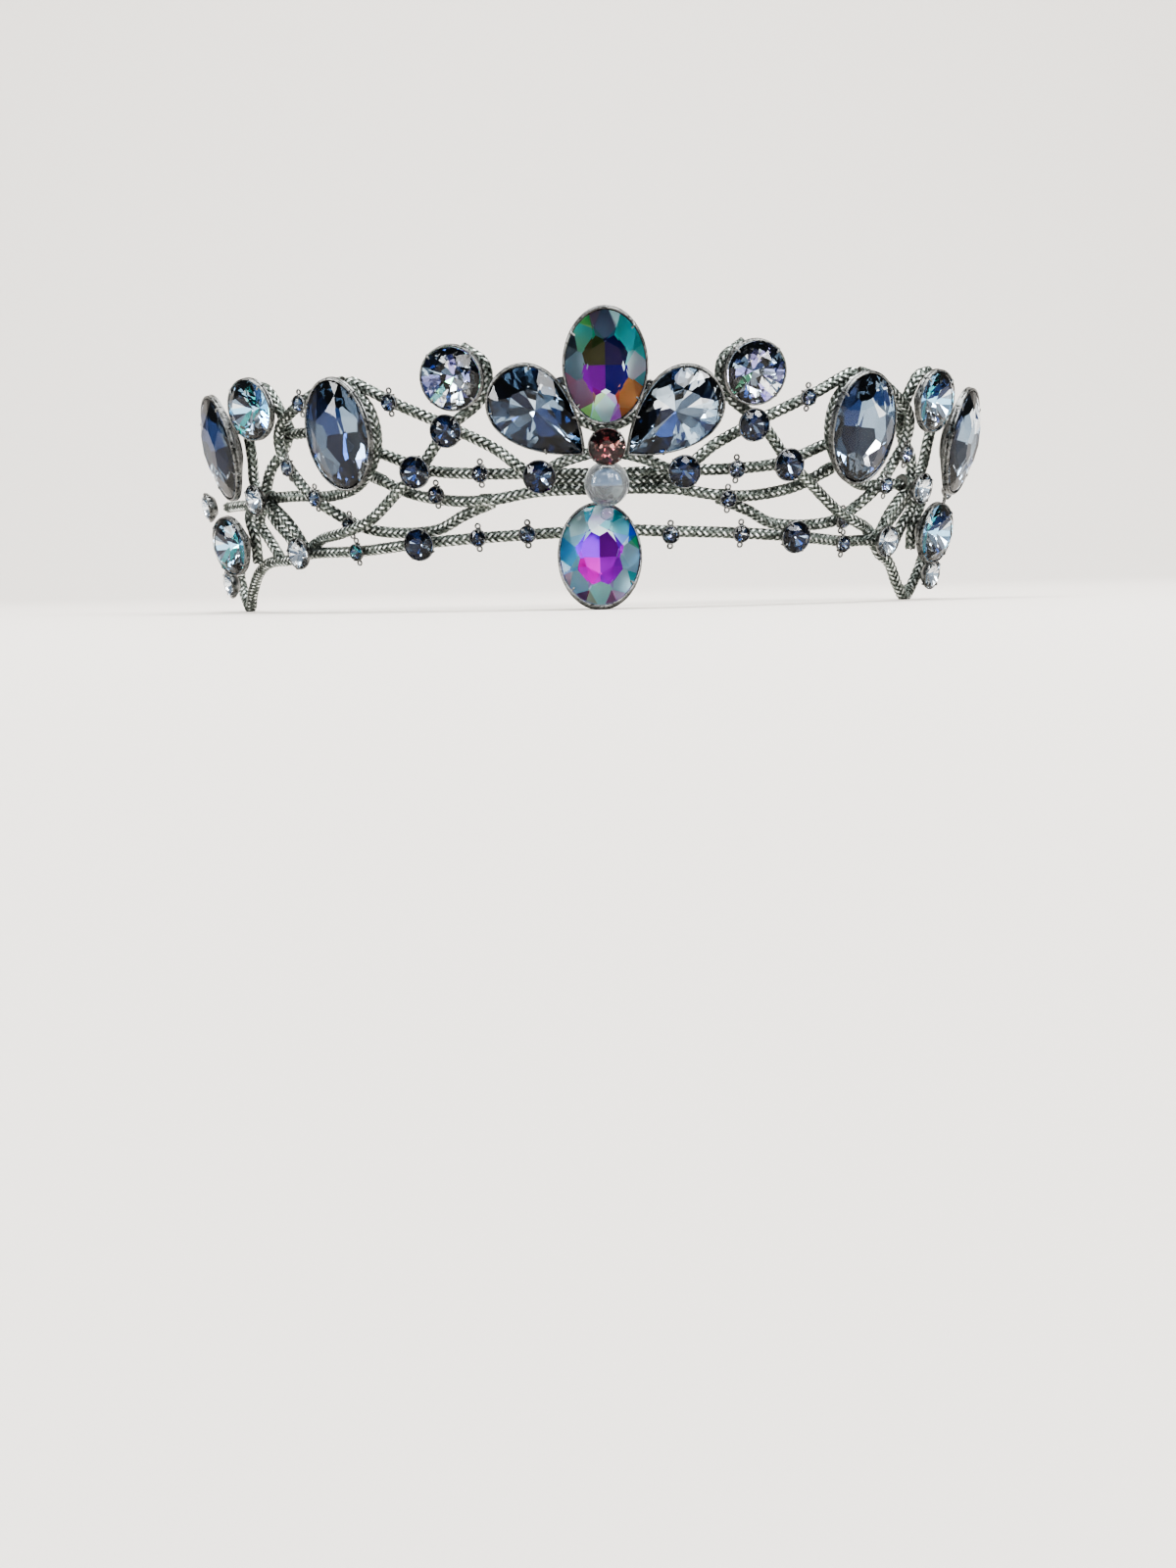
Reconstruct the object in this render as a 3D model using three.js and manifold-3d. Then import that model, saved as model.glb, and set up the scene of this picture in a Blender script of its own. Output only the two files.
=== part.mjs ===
// A ballet tiara: silver braid drawn over stiff wire and sewn into a pointed lace that curves round
// the front of the head, with faceted crystals in open-backed metal settings.
//
// Millimetres, +Z up. The front of the tiara faces -Y and +X is its right as it is looked at.
// It stands by itself on the setting of its lowest stone and on the tips of its two end loops.
import * as THREE from "three";
import { mergeVertices } from "three/addons/utils/BufferGeometryUtils.js";
import Module from "manifold-3d";

const wasm = await Module();
wasm.setup();

// ---------------------------------------------------------------- the wall that carries everything
const WALL_RADIUS = 70; // plan radius of the lace at the table
const WALL_FLARE = THREE.MathUtils.degToRad(11.5); // the lace leans outward as it rises
const WING_START = 35; // degrees round from the middle where a wing begins
const WING_OPEN = { left: 0.12, right: -0.12 }; // the left wing is bent a little wider than the right
const FOOT_OPEN = 1.1; // and more so at its foot
const FOOT_TOP = 30; // height where that begins
const FOOT_DEEP = 12; // height where it is full
const TABLE = -1.1; // level of the table, where the three feet are dressed flat

// ---------------------------------------------------------------- braid-covered wire
const WIRE_RADIUS = 1.0;
const WIRE_SIDES = 6;
const WIRE_STEP = 2.6; // length of one straight piece of the tube
const HUB_RADIUS = 1.7; // knot where the strands of a wing are bound together

// ---------------------------------------------------------------- stones and settings
const GIRDLE = 0.25; // half the thickness of a stone's edge
const TABLE_SCALE = 0.58; // size of the flat top against the outline
const SEAT_GAP = 0.3; // between a stone and its setting
const SETTING_WALL = 0.45;
const STONE_SIDES = 16;
const CHATON_SIDES = 12;

const SILVER_BRAID = new THREE.MeshStandardMaterial({ color: 0x9a9fa0, roughness: 0.45, metalness: 0.9 });
const DARK_SETTING = new THREE.MeshStandardMaterial({ color: 0x565a60, roughness: 0.35, metalness: 0.9 });
const ICE_BLUE = new THREE.MeshStandardMaterial({ color: 0x8fa8c4, roughness: 0.05, metalness: 0.3 });
const NAVY = new THREE.MeshStandardMaterial({ color: 0x2b4468, roughness: 0.08, metalness: 0.3 });
const CLEAR = new THREE.MeshStandardMaterial({ color: 0xdfe6ee, roughness: 0.05, metalness: 0.2 });
const RAINBOW = new THREE.MeshStandardMaterial({ color: 0x6f86b8, roughness: 0.05, metalness: 0.5 });
const ROSE = new THREE.MeshStandardMaterial({ color: 0xb4475a, roughness: 0.08, metalness: 0.3 });
const MOON = new THREE.MeshStandardMaterial({ color: 0xb9c6d8, roughness: 0.2, metalness: 0.0 });

const tiara = new THREE.Group();
tiara.name = "ballet_tiara";

// ================================================================ the wall chart
// A place on the lace is given by its turn (degrees round from the middle of the front, positive to
// the right), its height above the table and how far it stands out from the middle of the wall.
function wingTurn(side, turn, height) {
  const foot = THREE.MathUtils.clamp((FOOT_TOP - height) / (FOOT_TOP - FOOT_DEEP), 0, 1);
  const open = WING_OPEN[side] * Math.max(0, turn - WING_START) * (1 + FOOT_OPEN * foot);
  return (side === "left" ? -1 : 1) * (turn + open);
}

function wallPoint(turn, height, out) {
  const angle = THREE.MathUtils.degToRad(turn);
  const radius = WALL_RADIUS + height * Math.tan(WALL_FLARE) + out;
  return new THREE.Vector3(radius * Math.sin(angle), -radius * Math.cos(angle), height);
}

// Right, up and outward directions of the wall at a turn: the frame that a stone is set in.
function wallFrame(turn) {
  const angle = THREE.MathUtils.degToRad(turn);
  const right = new THREE.Vector3(Math.cos(angle), Math.sin(angle), 0);
  const level = new THREE.Vector3(Math.sin(angle), -Math.cos(angle), 0);
  const up = level.clone().multiplyScalar(Math.sin(WALL_FLARE)).setZ(Math.cos(WALL_FLARE));
  const outward = new THREE.Vector3().crossVectors(right, up);
  return new THREE.Matrix4().makeBasis(right, up, outward);
}

// ================================================================ solids
function closed(geometry) {
  geometry.deleteAttribute("normal");
  geometry.deleteAttribute("uv");
  return mergeVertices(geometry, 1e-4);
}

function toSolid(geometry) {
  const merged = closed(geometry);
  return new wasm.Manifold(
    new wasm.Mesh({
      numProp: 3,
      vertProperties: merged.attributes.position.array,
      triVerts: Uint32Array.from(merged.index.array),
    })
  );
}

function fromSolid(solid) {
  const mesh = solid.getMesh();
  const geometry = new THREE.BufferGeometry();
  geometry.setAttribute("position", new THREE.BufferAttribute(mesh.vertProperties, 3));
  geometry.setIndex(new THREE.BufferAttribute(mesh.triVerts, 1));
  return geometry;
}

function joined(geometries) {
  const [first, ...others] = geometries.map(toSolid);
  return fromSolid(others.reduce((whole, next) => whole.add(next), first));
}

// What rests on the table is filed flat there.
function dressedFlat(geometry) {
  return fromSolid(toSolid(geometry).trimByPlane([0, 0, 1], TABLE));
}

function addNode(name, geometry, material, parent = tiara) {
  const mesh = new THREE.Mesh(geometry, material);
  mesh.name = name;
  parent.add(mesh);
  return mesh;
}

// A round tube through places of the wall chart, rows of [turn, height, out].
function wireTube(places) {
  const path = new THREE.CatmullRomCurve3(places.map(([turn, height, out]) => wallPoint(turn, height, out)));
  const steps = Math.max(2, Math.round(path.getLength() / WIRE_STEP));
  const section = new THREE.Shape();
  for (let side = 0; side < WIRE_SIDES; side += 1) {
    const angle = (2 * Math.PI * side) / WIRE_SIDES;
    const corner = [WIRE_RADIUS * Math.cos(angle), WIRE_RADIUS * Math.sin(angle)];
    if (side === 0) section.moveTo(...corner);
    else section.lineTo(...corner);
  }
  section.closePath();
  return new THREE.ExtrudeGeometry(section, { steps, extrudePath: path, bevelEnabled: false });
}

function ball(radius, [turn, height, out]) {
  const sphere = new THREE.SphereGeometry(radius, 8, 6);
  const centre = wallPoint(turn, height, out);
  return sphere.translate(centre.x, centre.y, centre.z);
}

// ================================================================ stone outlines
// An outline gives the point at part t of the way round, for half-lengths up and across.
// The pear's narrow end points down and its deepest point lies nearer to its broad end.
const OUTLINES = {
  oval: { at: (t, up, across) => [across * Math.sin(t), up * Math.cos(t)], deepest: 0 },
  pear: {
    at: (t, up, across) => {
      const taper = Math.pow(Math.cos(t / 2) ** 2, 0.42);
      return [1.17 * across * Math.sin(t) * taper, up * Math.cos(t)];
    },
    deepest: 0.12,
  },
};

// A body built of rings that follow one outline. Each ring is [grow, height]: how far it stands
// outside the outline in millimetres, or inside it when negative, and its height over the girdle.
// A solid body closes with a point or a flat at each end; a hollow one closes on itself.
function ringBody(cut, rings, { hollow = false, tip = null } = {}) {
  const { at, deepest } = OUTLINES[cut.outline];
  const sides = cut.sides;
  const points = [];
  const faces = [];
  for (const [grow, height] of rings) {
    const scale = 1 + grow / cut.across;
    for (let i = 0; i < sides; i += 1) {
      const [x, y] = at((2 * Math.PI * i) / sides, cut.up, cut.across);
      points.push(x * scale, y * scale + (1 - scale) * deepest * cut.up, height);
    }
  }
  const band = (a, b) => {
    for (let i = 0; i < sides; i += 1) {
      const j = (i + 1) % sides;
      faces.push(a * sides + i, b * sides + j, b * sides + i);
      faces.push(a * sides + i, a * sides + j, b * sides + j);
    }
  };
  const cap = (ring, height, upward) => {
    points.push(0, deepest * cut.up, height);
    const centre = points.length / 3 - 1;
    for (let i = 0; i < sides; i += 1) {
      const j = (i + 1) % sides;
      if (upward) faces.push(centre, ring * sides + j, ring * sides + i);
      else faces.push(centre, ring * sides + i, ring * sides + j);
    }
  };
  for (let ring = 0; ring + 1 < rings.length; ring += 1) band(ring, ring + 1);
  if (hollow) {
    band(rings.length - 1, 0);
  } else {
    cap(0, rings[0][1], true);
    cap(rings.length - 1, tip ?? rings[rings.length - 1][1], false);
  }
  const geometry = new THREE.BufferGeometry();
  geometry.setAttribute("position", new THREE.Float32BufferAttribute(points, 3));
  geometry.setIndex(faces);
  return geometry;
}

// A faceted stone: flat table, crown, thin girdle and a pavilion that runs down to a point.
function stoneBody(cut) {
  const inset = -(1 - TABLE_SCALE) * cut.across;
  const rings = [
    [inset, cut.crown],
    [0, GIRDLE],
    [0, -GIRDLE],
  ];
  return ringBody(cut, rings, { tip: -cut.depth });
}

// An open-backed setting: a tapering metal collar that follows the pavilion.
function settingBody(cut) {
  const floor = -cut.depth - 0.2;
  const taper = cut.across * 0.62;
  const ledge = -GIRDLE - SEAT_GAP;
  const rings = [
    [SEAT_GAP + SETTING_WALL, GIRDLE],
    [SEAT_GAP + SETTING_WALL, ledge - 0.2],
    [-taper + SEAT_GAP + SETTING_WALL, floor],
    [-taper + SEAT_GAP, floor],
    [SEAT_GAP, ledge],
    [SEAT_GAP, GIRDLE],
  ];
  return ringBody(cut, rings, { hollow: true });
}

// A small round stone closed into its own cup, bought and sewn on as one piece.
function chatonBody(cut) {
  const rings = [
    [-0.5 * cut.across, cut.crown],
    [-0.25, 0.2],
    [0.1, 0.1],
    [0.1, -0.3],
    [-0.45 * cut.across, -cut.depth],
  ];
  return ringBody(cut, rings);
}

// The place and facing of a stone: turned about the wall's upright, leaned back and spun in its own
// plane, all in degrees.
function placeStone(mesh, turn, height, out, { face = 0, lean = 0, spin = 0 } = {}) {
  const rad = THREE.MathUtils.degToRad;
  const pose = wallFrame(turn)
    .multiply(new THREE.Matrix4().makeRotationY(rad(face)))
    .multiply(new THREE.Matrix4().makeRotationX(rad(-lean)))
    .multiply(new THREE.Matrix4().makeRotationZ(rad(spin)));
  mesh.quaternion.setFromRotationMatrix(pose);
  mesh.position.copy(wallPoint(turn, height, out));
}

// ================================================================ wires of one wing
// Rows of turn, height, out. A wire that passes in front of another stands out, one behind stands in.
const FRAME_WIRE = [
  [1.7, 25.2, 0.2],
  [5.0, 24.0, 0.6],
  [9.2, 22.0, 1.2],
  [14.5, 26.4, 0],
  [20.0, 29.9, -1.2],
  [27.5, 34.5, 0],
  [33.4, 38.4, 1.0],
  [30.8, 33.4, 1.2],
  [30.4, 28.5, 1.2],
  [31.8, 24.0, 1.2],
  [35.0, 20.8, 0.4],
  [40.5, 19.4, -1.2],
  [45.5, 19.7, -0.9],
  [49.6, 20.2, 0],
];
const CURL_WIRE = [
  [17.5, 43.0, 0],
  [14.9, 40.4, 0],
  [14.7, 36.9, 0],
  [16.0, 33.9, 0.4],
  [20.0, 29.9, 1.2],
  [24.6, 23.2, 1.2],
  [28.0, 19.8, 1.2],
  [33.5, 14.7, 1.2],
  [37.8, 12.8, 1.3],
  [42.2, 12.2, -0.4],
];
const MIDDLE_WIRE = [
  [1.7, 21.7, -0.6],
  [9.2, 22.0, -1.2],
  [17.0, 22.2, -0.6],
  [24.5, 23.2, -1.2],
  [31.0, 26.2, -1.2],
  [42.0, 30.5, -1.0],
  [46.0, 31.0, -1.2],
  [46.5, 34.5, -0.5],
  [48.0, 38.6, 0],
  [51.0, 39.4, 0.2],
];
const LOWER_WIRE = [
  [1.7, 19.1, -0.6],
  [9.0, 18.9, 0],
  [15.0, 17.7, 1.2],
  [20.5, 17.7, 0],
  [27.4, 19.3, -1.2],
  [33.0, 22.4, -1.4],
];
const CROSS_WIRE = [
  [15.5, 17.3, -1.2],
  [19.6, 15.2, -0.6],
  [24.0, 12.9, -1.2],
  [34.0, 13.1, -1.2],
  [38.0, 15.3, -0.5],
  [41.5, 19.1, 1.2],
  [44.6, 23.3, 0.9],
  [46.2, 27.2, 1.2],
  [45.9, 31.4, 1.2],
  [42.3, 35.0, 0.8],
  [37.6, 38.2, 0.2],
];
const RIM_WIRE = [
  [1.2, 12.2, -0.4],
  [7.0, 11.9, 0],
  [18.0, 11.3, 0],
  [26.0, 10.6, 1.2],
  [36.0, 9.6, 0],
  [44.0, 9.4, 0],
];
// The rim goes on into the loop that each end stands on; the two are bent a little differently.
const END_LOOP = {
  left: [
    [48.5, 8.4, 0],
    [53.5, 8.0, 0],
    [57.5, 6.2, 0],
    [62.1, 2.4, 0],
    [65.4, -0.45, 0],
    [67.9, 2.8, 0],
    [67.6, 7.6, 0],
  ],
  right: [
    [46.5, 7.4, 0],
    [50.0, 5.8, 0],
    [54.6, 1.5, 0],
    [58.2, -0.55, 0],
    [61.2, 2.6, 0],
    [63.9, 7.2, 0],
  ],
};
// The knot of a wing and the strands that fan out from it.
const KNOT = [52.5, 19.2, 0];
const FAN = [
  [[47.7, 28.4, -1.3], [50.0, 24.5, 0], KNOT],
  [KNOT, [49.0, 17.4, 0.9], [46.2, 14.3, 1.1], [44.9, 12.2, 0.9]],
  [KNOT, [50.6, 15.3, -0.3], [48.2, 12.2, -0.6]],
  [KNOT, [54.4, 15.2, 0], [53.0, 12.4, -0.3], [51.6, 10.8, -0.3]],
  [[56.6, 36.4, 0], [54.5, 33.0, 0], [54.2, 27.0, 0], [54.4, 22.5, 0], KNOT],
  [KNOT, [57.2, 16.6, 0], [56.4, 12.4, 0], [57.2, 9.8, 0]],
];

// A stem for one more stone, on the left wing only.
const STEM = [KNOT, [57.0, 18.7, -0.4], [61.0, 18.7, 0], [64.2, 18.6, 0.6]];

const ONE_STRAND_WIRES = {
  frame_wire: FRAME_WIRE,
  curl_wire: CURL_WIRE,
  middle_wire: MIDDLE_WIRE,
  lower_wire: LOWER_WIRE,
  cross_wire: CROSS_WIRE,
};

for (const side of ["left", "right"]) {
  const onWing = ([turn, height, out]) => [wingTurn(side, turn, height), height, out];
  for (const [name, rows] of Object.entries(ONE_STRAND_WIRES)) {
    addNode(`${name}_${side}`, closed(wireTube(rows.map(onWing))), SILVER_BRAID);
  }
  const rim = wireTube([...RIM_WIRE, ...END_LOOP[side]].map(onWing));
  addNode(`rim_wire_${side}`, dressedFlat(rim), SILVER_BRAID);
  const fan = side === "left" ? [...FAN, STEM] : FAN;
  const strands = fan.map((rows) => wireTube(rows.map(onWing)));
  addNode(`fan_wire_${side}`, joined([ball(HUB_RADIUS, onWing(KNOT)), ...strands]), SILVER_BRAID);
}

// The upright behind the middle stones, with an arm out to the back of each pear stone.
const SPINE = [
  [[0, 42.0, -1.2], [0, 34.0, -2.6], [0, 22.0, -3.0], [0, 14.0, -2.8]],
  [[0, 29.0, -2.8], [-4.5, 31.5, -1.6], [-8.6, 33.6, 0.4]],
  [[0, 29.0, -2.8], [4.5, 31.5, -1.6], [8.6, 33.6, 0.4]],
];
addNode("centre_spine", joined(SPINE.map(wireTube)), SILVER_BRAID);

// ================================================================ the stones of the middle
const LARGE_OVAL = { outline: "oval", up: 9, across: 6.5, crown: 2.1, depth: 3.0, sides: STONE_SIDES };
const LARGE_PEAR = { outline: "pear", up: 9, across: 6.5, crown: 2.1, depth: 3.0, sides: STONE_SIDES };
const LARGE_ROUND = { outline: "oval", up: 5, across: 5, crown: 1.7, depth: 3.0, sides: STONE_SIDES };
const CHATON = { outline: "oval", up: 2.8, across: 2.8, crown: 1.0, depth: 1.7, sides: CHATON_SIDES };

// place: turn, height, out of the girdle.
const MIDDLE_STONES = [
  { name: "crest_oval", cut: LARGE_OVAL, place: [0, 38.8, 6.4], lean: 0, spin: 0 },
  { name: "pear_left", cut: LARGE_PEAR, place: [-7.8, 31.1, 4.9], lean: 0, spin: 48 },
  { name: "pear_right", cut: LARGE_PEAR, place: [7.8, 30.6, 4.9], lean: 0, spin: -50 },
];
for (const { name, cut, place, lean, spin } of MIDDLE_STONES) {
  placeStone(addNode(`${name}_stone`, stoneBody(cut), RAINBOW), ...place, { lean, spin });
  placeStone(addNode(`${name}_setting`, settingBody(cut), DARK_SETTING), ...place, { lean, spin });
}

const LOWER_PLACE = [-1.0, 8.0, 7.2];
const LOWER_LEAN = 36; // the lowest stone lies back against the brow
placeStone(addNode("lower_oval_stone", stoneBody(LARGE_OVAL), RAINBOW), ...LOWER_PLACE, { lean: LOWER_LEAN });
const lowerSetting = addNode("lower_oval_setting", settingBody(LARGE_OVAL), DARK_SETTING);
placeStone(lowerSetting, ...LOWER_PLACE, { lean: LOWER_LEAN });
lowerSetting.updateMatrix();
lowerSetting.geometry = dressedFlat(lowerSetting.geometry.applyMatrix4(lowerSetting.matrix));
lowerSetting.position.set(0, 0, 0);
lowerSetting.quaternion.identity();

const ROSE_CUT = { ...CHATON, up: 3.2, across: 3.2, crown: 1.2, depth: 2.4 };
placeStone(addNode("rose_chaton", chatonBody(ROSE_CUT), ROSE), 0, 25.7, 8.2);

const BEAD_RADIUS = 3.8;
placeStone(addNode("moonstone_bead", closed(new THREE.SphereGeometry(BEAD_RADIUS, 16, 12)), MOON), 0, 19.8, 4.6);

// ================================================================ the stones of the wings
// left and right: turn and height; out; face: extra turn on the left and on the right.
const SET_STONES = [
  { name: "curl_round", cut: LARGE_ROUND, left: [18.1, 37.8], right: [17.9, 37.8], out: 4.6, face: [0, 0], spin: 0 },
  { name: "side_oval", cut: LARGE_OVAL, left: [33.8, 29.4], right: [33.2, 28.8], out: 5.8, face: [3, 0], spin: 3 },
  { name: "far_round", cut: LARGE_ROUND, left: [48.4, 34.8], right: [45.6, 33.8], out: 5.6, face: [-6, 3], spin: 0 },
  { name: "far_oval", cut: LARGE_OVAL, left: [58.8, 28.8], right: [54.6, 27.2], out: 4.8, face: [5, 7], spin: 7 },
  { name: "low_round", cut: LARGE_ROUND, left: [62.4, 11.2], right: [51.4, 10.8], out: 5.0, face: [-10, 0], spin: 0 },
];
const CHATONS = [
  { name: "navy_chaton_1", left: [19.5, 29.2], right: [18.2, 29.2], out: 4.3, face: [0, 0], material: NAVY },
  { name: "navy_chaton_2", left: [24.2, 22.6], right: [23.4, 22.6], out: 4.3, face: [0, 0], material: NAVY },
  { name: "navy_chaton_3", left: [8.2, 21.2], right: [9.6, 21.6], out: 4.3, face: [0, 0], material: NAVY },
  { name: "navy_chaton_4", left: [24.8, 10.4], right: [25.3, 10.4], out: 4.3, face: [0, 0], material: NAVY },
  { name: "clear_chaton_1", left: [53.4, 19.2], right: [47.4, 18.7], out: 3.9, face: [0, 0], material: CLEAR },
  { name: "clear_chaton_2", left: [46.0, 9.4], right: [41.8, 9.4], out: 3.6, face: [0, 0], material: CLEAR },
  { name: "clear_chaton_3", left: [71.6, 4.2], right: [54.8, 3.4], out: 3.2, face: [0, 0], material: CLEAR },
];
["left", "right"].forEach((side, index) => {
  const sign = side === "left" ? -1 : 1;
  for (const row of SET_STONES) {
    const [turn, height] = row[side];
    const pose = { face: sign * row.face[index], spin: -sign * row.spin };
    const stone = addNode(`${row.name}_stone_${side}`, stoneBody(row.cut), ICE_BLUE);
    const setting = addNode(`${row.name}_setting_${side}`, settingBody(row.cut), DARK_SETTING);
    placeStone(stone, sign * turn, height, row.out, pose);
    placeStone(setting, sign * turn, height, row.out, pose);
  }
  for (const row of CHATONS) {
    const [turn, height] = row[side];
    const chaton = addNode(`${row.name}_${side}`, chatonBody(CHATON), row.material);
    placeStone(chaton, sign * turn, height, row.out, { face: sign * row.face[index] });
  }
});
// One more clear stone, at the end of the left wing's stem.
placeStone(addNode("clear_chaton_4_left", chatonBody(CHATON), CLEAR), -70.0, 18.6, 4.4, { face: -6 });

// The origin is the middle of the tiara's footprint, at the table.
tiara.updateMatrixWorld(true);
const bounds = new THREE.Box3().setFromObject(tiara, true);
const centre = bounds.getCenter(new THREE.Vector3());
tiara.position.set(-centre.x, -centre.y, -bounds.min.z);

export default tiara;
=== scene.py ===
# A ballet tiara: silver braid over stiff wire, sewn into a pointed lace that curves round the front of
# the head, with foiled crystals in open-backed metal settings. Metres, +Z up, front towards -Y.
import math
from collections import namedtuple
from functools import partial

import bmesh
import bpy
import numpy as np
from mathutils import Matrix, Vector


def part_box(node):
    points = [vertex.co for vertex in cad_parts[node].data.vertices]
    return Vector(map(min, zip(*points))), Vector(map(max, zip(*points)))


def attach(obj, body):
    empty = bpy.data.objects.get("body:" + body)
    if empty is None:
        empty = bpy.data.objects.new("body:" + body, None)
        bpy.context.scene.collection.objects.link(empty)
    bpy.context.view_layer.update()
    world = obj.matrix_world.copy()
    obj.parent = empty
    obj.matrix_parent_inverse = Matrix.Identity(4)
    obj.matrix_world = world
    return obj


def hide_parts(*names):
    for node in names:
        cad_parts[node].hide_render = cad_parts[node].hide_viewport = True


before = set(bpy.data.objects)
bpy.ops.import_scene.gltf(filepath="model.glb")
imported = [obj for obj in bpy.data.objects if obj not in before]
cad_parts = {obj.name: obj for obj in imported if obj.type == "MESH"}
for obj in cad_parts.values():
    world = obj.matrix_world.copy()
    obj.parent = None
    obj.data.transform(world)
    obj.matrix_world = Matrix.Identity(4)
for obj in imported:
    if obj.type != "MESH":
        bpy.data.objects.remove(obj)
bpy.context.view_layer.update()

MM = 0.001
BODY = "root"

# ======== the wires of the lace
# Steel wire with a tube of metallic silver thread braided over it, six strands one way and six the
# other, each over two and under two. The wires are bent by hand over a form, and cross one another
# where they are sewn together.

# A place on the lace is given by its turn (degrees round from the middle of the front, positive to
# the right), its height in mm and how far it stands out in mm from the middle of the leaning wall.
WALL_RADIUS = 70
WALL_FLARE = math.radians(11.5)
WING_START = 35
WING_OPEN = {"left": 0.12, "right": -0.12}
SIGNS = {"left": -1, "right": 1}
FOOT_OPEN = 1.1
FOOT_TOP = 30
FOOT_DEEP = 12
BEAD_PLACE = (0, 19.8, 4.6)


def wall_radius(height, out):
    return WALL_RADIUS + height * math.tan(WALL_FLARE) + out


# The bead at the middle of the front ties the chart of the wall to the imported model.
bead_low, bead_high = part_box("moonstone_bead")
bead_centre = (bead_low + bead_high) / 2
WALL_AXIS = bead_centre + MM * Vector((0, wall_radius(*BEAD_PLACE[1:]), -BEAD_PLACE[1]))


def wing_turn(side, turn, height):
    foot = min(1, max(0, (FOOT_TOP - height) / (FOOT_TOP - FOOT_DEEP)))
    opened = WING_OPEN[side] * max(0, turn - WING_START) * (1 + FOOT_OPEN * foot)
    return SIGNS[side] * (turn + opened)


def wall_point(turn, height, out):
    angle = math.radians(turn)
    radius = wall_radius(height, out)
    return WALL_AXIS + MM * Vector((radius * math.sin(angle), -radius * math.cos(angle), height))


# Right, up and outward directions of the wall at a turn.
def wall_frame(turn):
    angle = math.radians(turn)
    right = Vector((math.cos(angle), math.sin(angle), 0))
    level = Vector((math.sin(angle), -math.cos(angle), 0))
    up = level * math.sin(WALL_FLARE) + Vector((0, 0, math.cos(WALL_FLARE)))
    return Matrix((right, up, right.cross(up))).transposed()


# Rows of turn, height, out. A wire that passes in front of another stands out, one behind stands in.
FRAME_WIRE = [
    (0.3, 25.6, 0.1), (5.0, 24.0, 0.6), (9.2, 22.0, 1.2), (14.5, 26.4, 0), (20.0, 29.9, -1.2),
    (27.5, 34.5, 0), (33.4, 38.4, 1.0), (30.8, 33.4, 1.2), (30.4, 28.5, 1.2), (31.8, 24.0, 1.2),
    (35.0, 20.8, 0.4), (40.5, 19.4, -1.2), (45.5, 19.7, -0.9), (51.6, 19.6, 0),
]
CURL_WIRE = [
    (17.5, 43.0, 0), (14.9, 40.4, 0), (14.7, 36.9, 0), (16.0, 33.9, 0.4), (20.0, 29.9, 1.2),
    (24.6, 23.2, 1.2), (28.0, 19.8, 1.2), (33.5, 14.7, 1.2), (37.8, 12.8, 1.3), (42.2, 11.9, -0.4),
    (44.4, 10.5, -0.6),
]
MIDDLE_WIRE = [
    (0.3, 21.6, -0.6), (9.2, 22.0, -1.2), (17.0, 22.2, -0.6), (24.5, 23.2, -1.2), (31.0, 26.2, -1.2),
    (42.0, 30.5, -1.0), (46.0, 31.0, -1.2), (46.5, 34.5, -0.5), (48.0, 38.6, 0), (50.4, 39.3, 0.2),
]
LOWER_WIRE = [
    (0.3, 19.2, -0.6), (9.0, 18.9, 0), (15.0, 17.7, 1.2), (20.5, 17.7, 0), (27.4, 19.3, -1.2),
    (33.0, 22.4, -1.4),
]
CROSS_WIRE = [
    (15.5, 17.3, -1.2), (19.6, 15.2, -0.6), (24.0, 12.9, -1.2), (34.0, 13.1, -1.2),
    (38.0, 15.3, -0.5), (41.5, 19.1, 1.2), (44.6, 23.3, 0.9), (46.2, 27.2, 1.2), (45.9, 31.4, 1.2),
    (42.3, 35.0, 0.8), (37.6, 37.9, 0.2), (35.2, 38.6, -0.4),
]
RIM_WIRE = [
    (0.3, 12.3, -0.4), (7.0, 11.9, 0), (18.0, 11.3, 0), (26.0, 10.6, 1.2), (36.0, 9.6, 0),
    (44.0, 9.4, 0),
]
END_LOOP = {
    "left": [
        (48.5, 8.4, 0), (53.5, 8.0, 0), (57.5, 6.2, 0), (62.1, 2.4, 0), (65.4, -0.45, 0),
        (67.9, 2.8, 0), (67.6, 7.6, 0),
    ],
    "right": [
        (46.5, 7.4, 0), (50.0, 5.8, 0), (54.6, 1.5, 0), (58.2, -0.55, 0), (61.2, 2.6, 0),
        (63.9, 7.2, 0),
    ],
}
KNOT = (52.5, 19.2, 0)
FAN = [
    [(46.6, 30.2, -1.3), (48.0, 27.8, -1.2), (50.0, 24.5, 0), KNOT],
    [KNOT, (49.0, 17.4, 0.9), (46.2, 14.3, 1.1), (44.4, 9.6, 0.6)],
    [KNOT, (50.6, 15.3, -0.3), (48.2, 12.2, -0.5), (47.0, 8.9, -0.3)],
    [KNOT, (54.4, 15.2, 0), (53.0, 12.4, -0.3), (50.6, 8.2, -0.2)],
    [(56.6, 36.4, 0), (54.5, 33.0, 0), (54.2, 27.0, 0), (54.4, 22.5, 0), KNOT],
    [KNOT, (57.2, 16.6, 0), (56.4, 12.4, 0), (57.2, 8.2, 0)],
]
STEM = [KNOT, (57.0, 18.7, -0.4), (61.0, 18.7, 0), (64.2, 18.6, 0.6)]
SPINE = [
    [(0, 42.0, -1.2), (0, 34.0, -2.6), (0, 22.0, -3.0), (0, 14.0, -2.8)],
    [(0, 29.0, -2.8), (-4.5, 31.5, -1.6), (-8.6, 33.6, 0.4)],
    [(0, 29.0, -2.8), (4.5, 31.5, -1.6), (8.6, 33.6, 0.4)],
]
SAMPLES_PER_SPAN = 12


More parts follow.
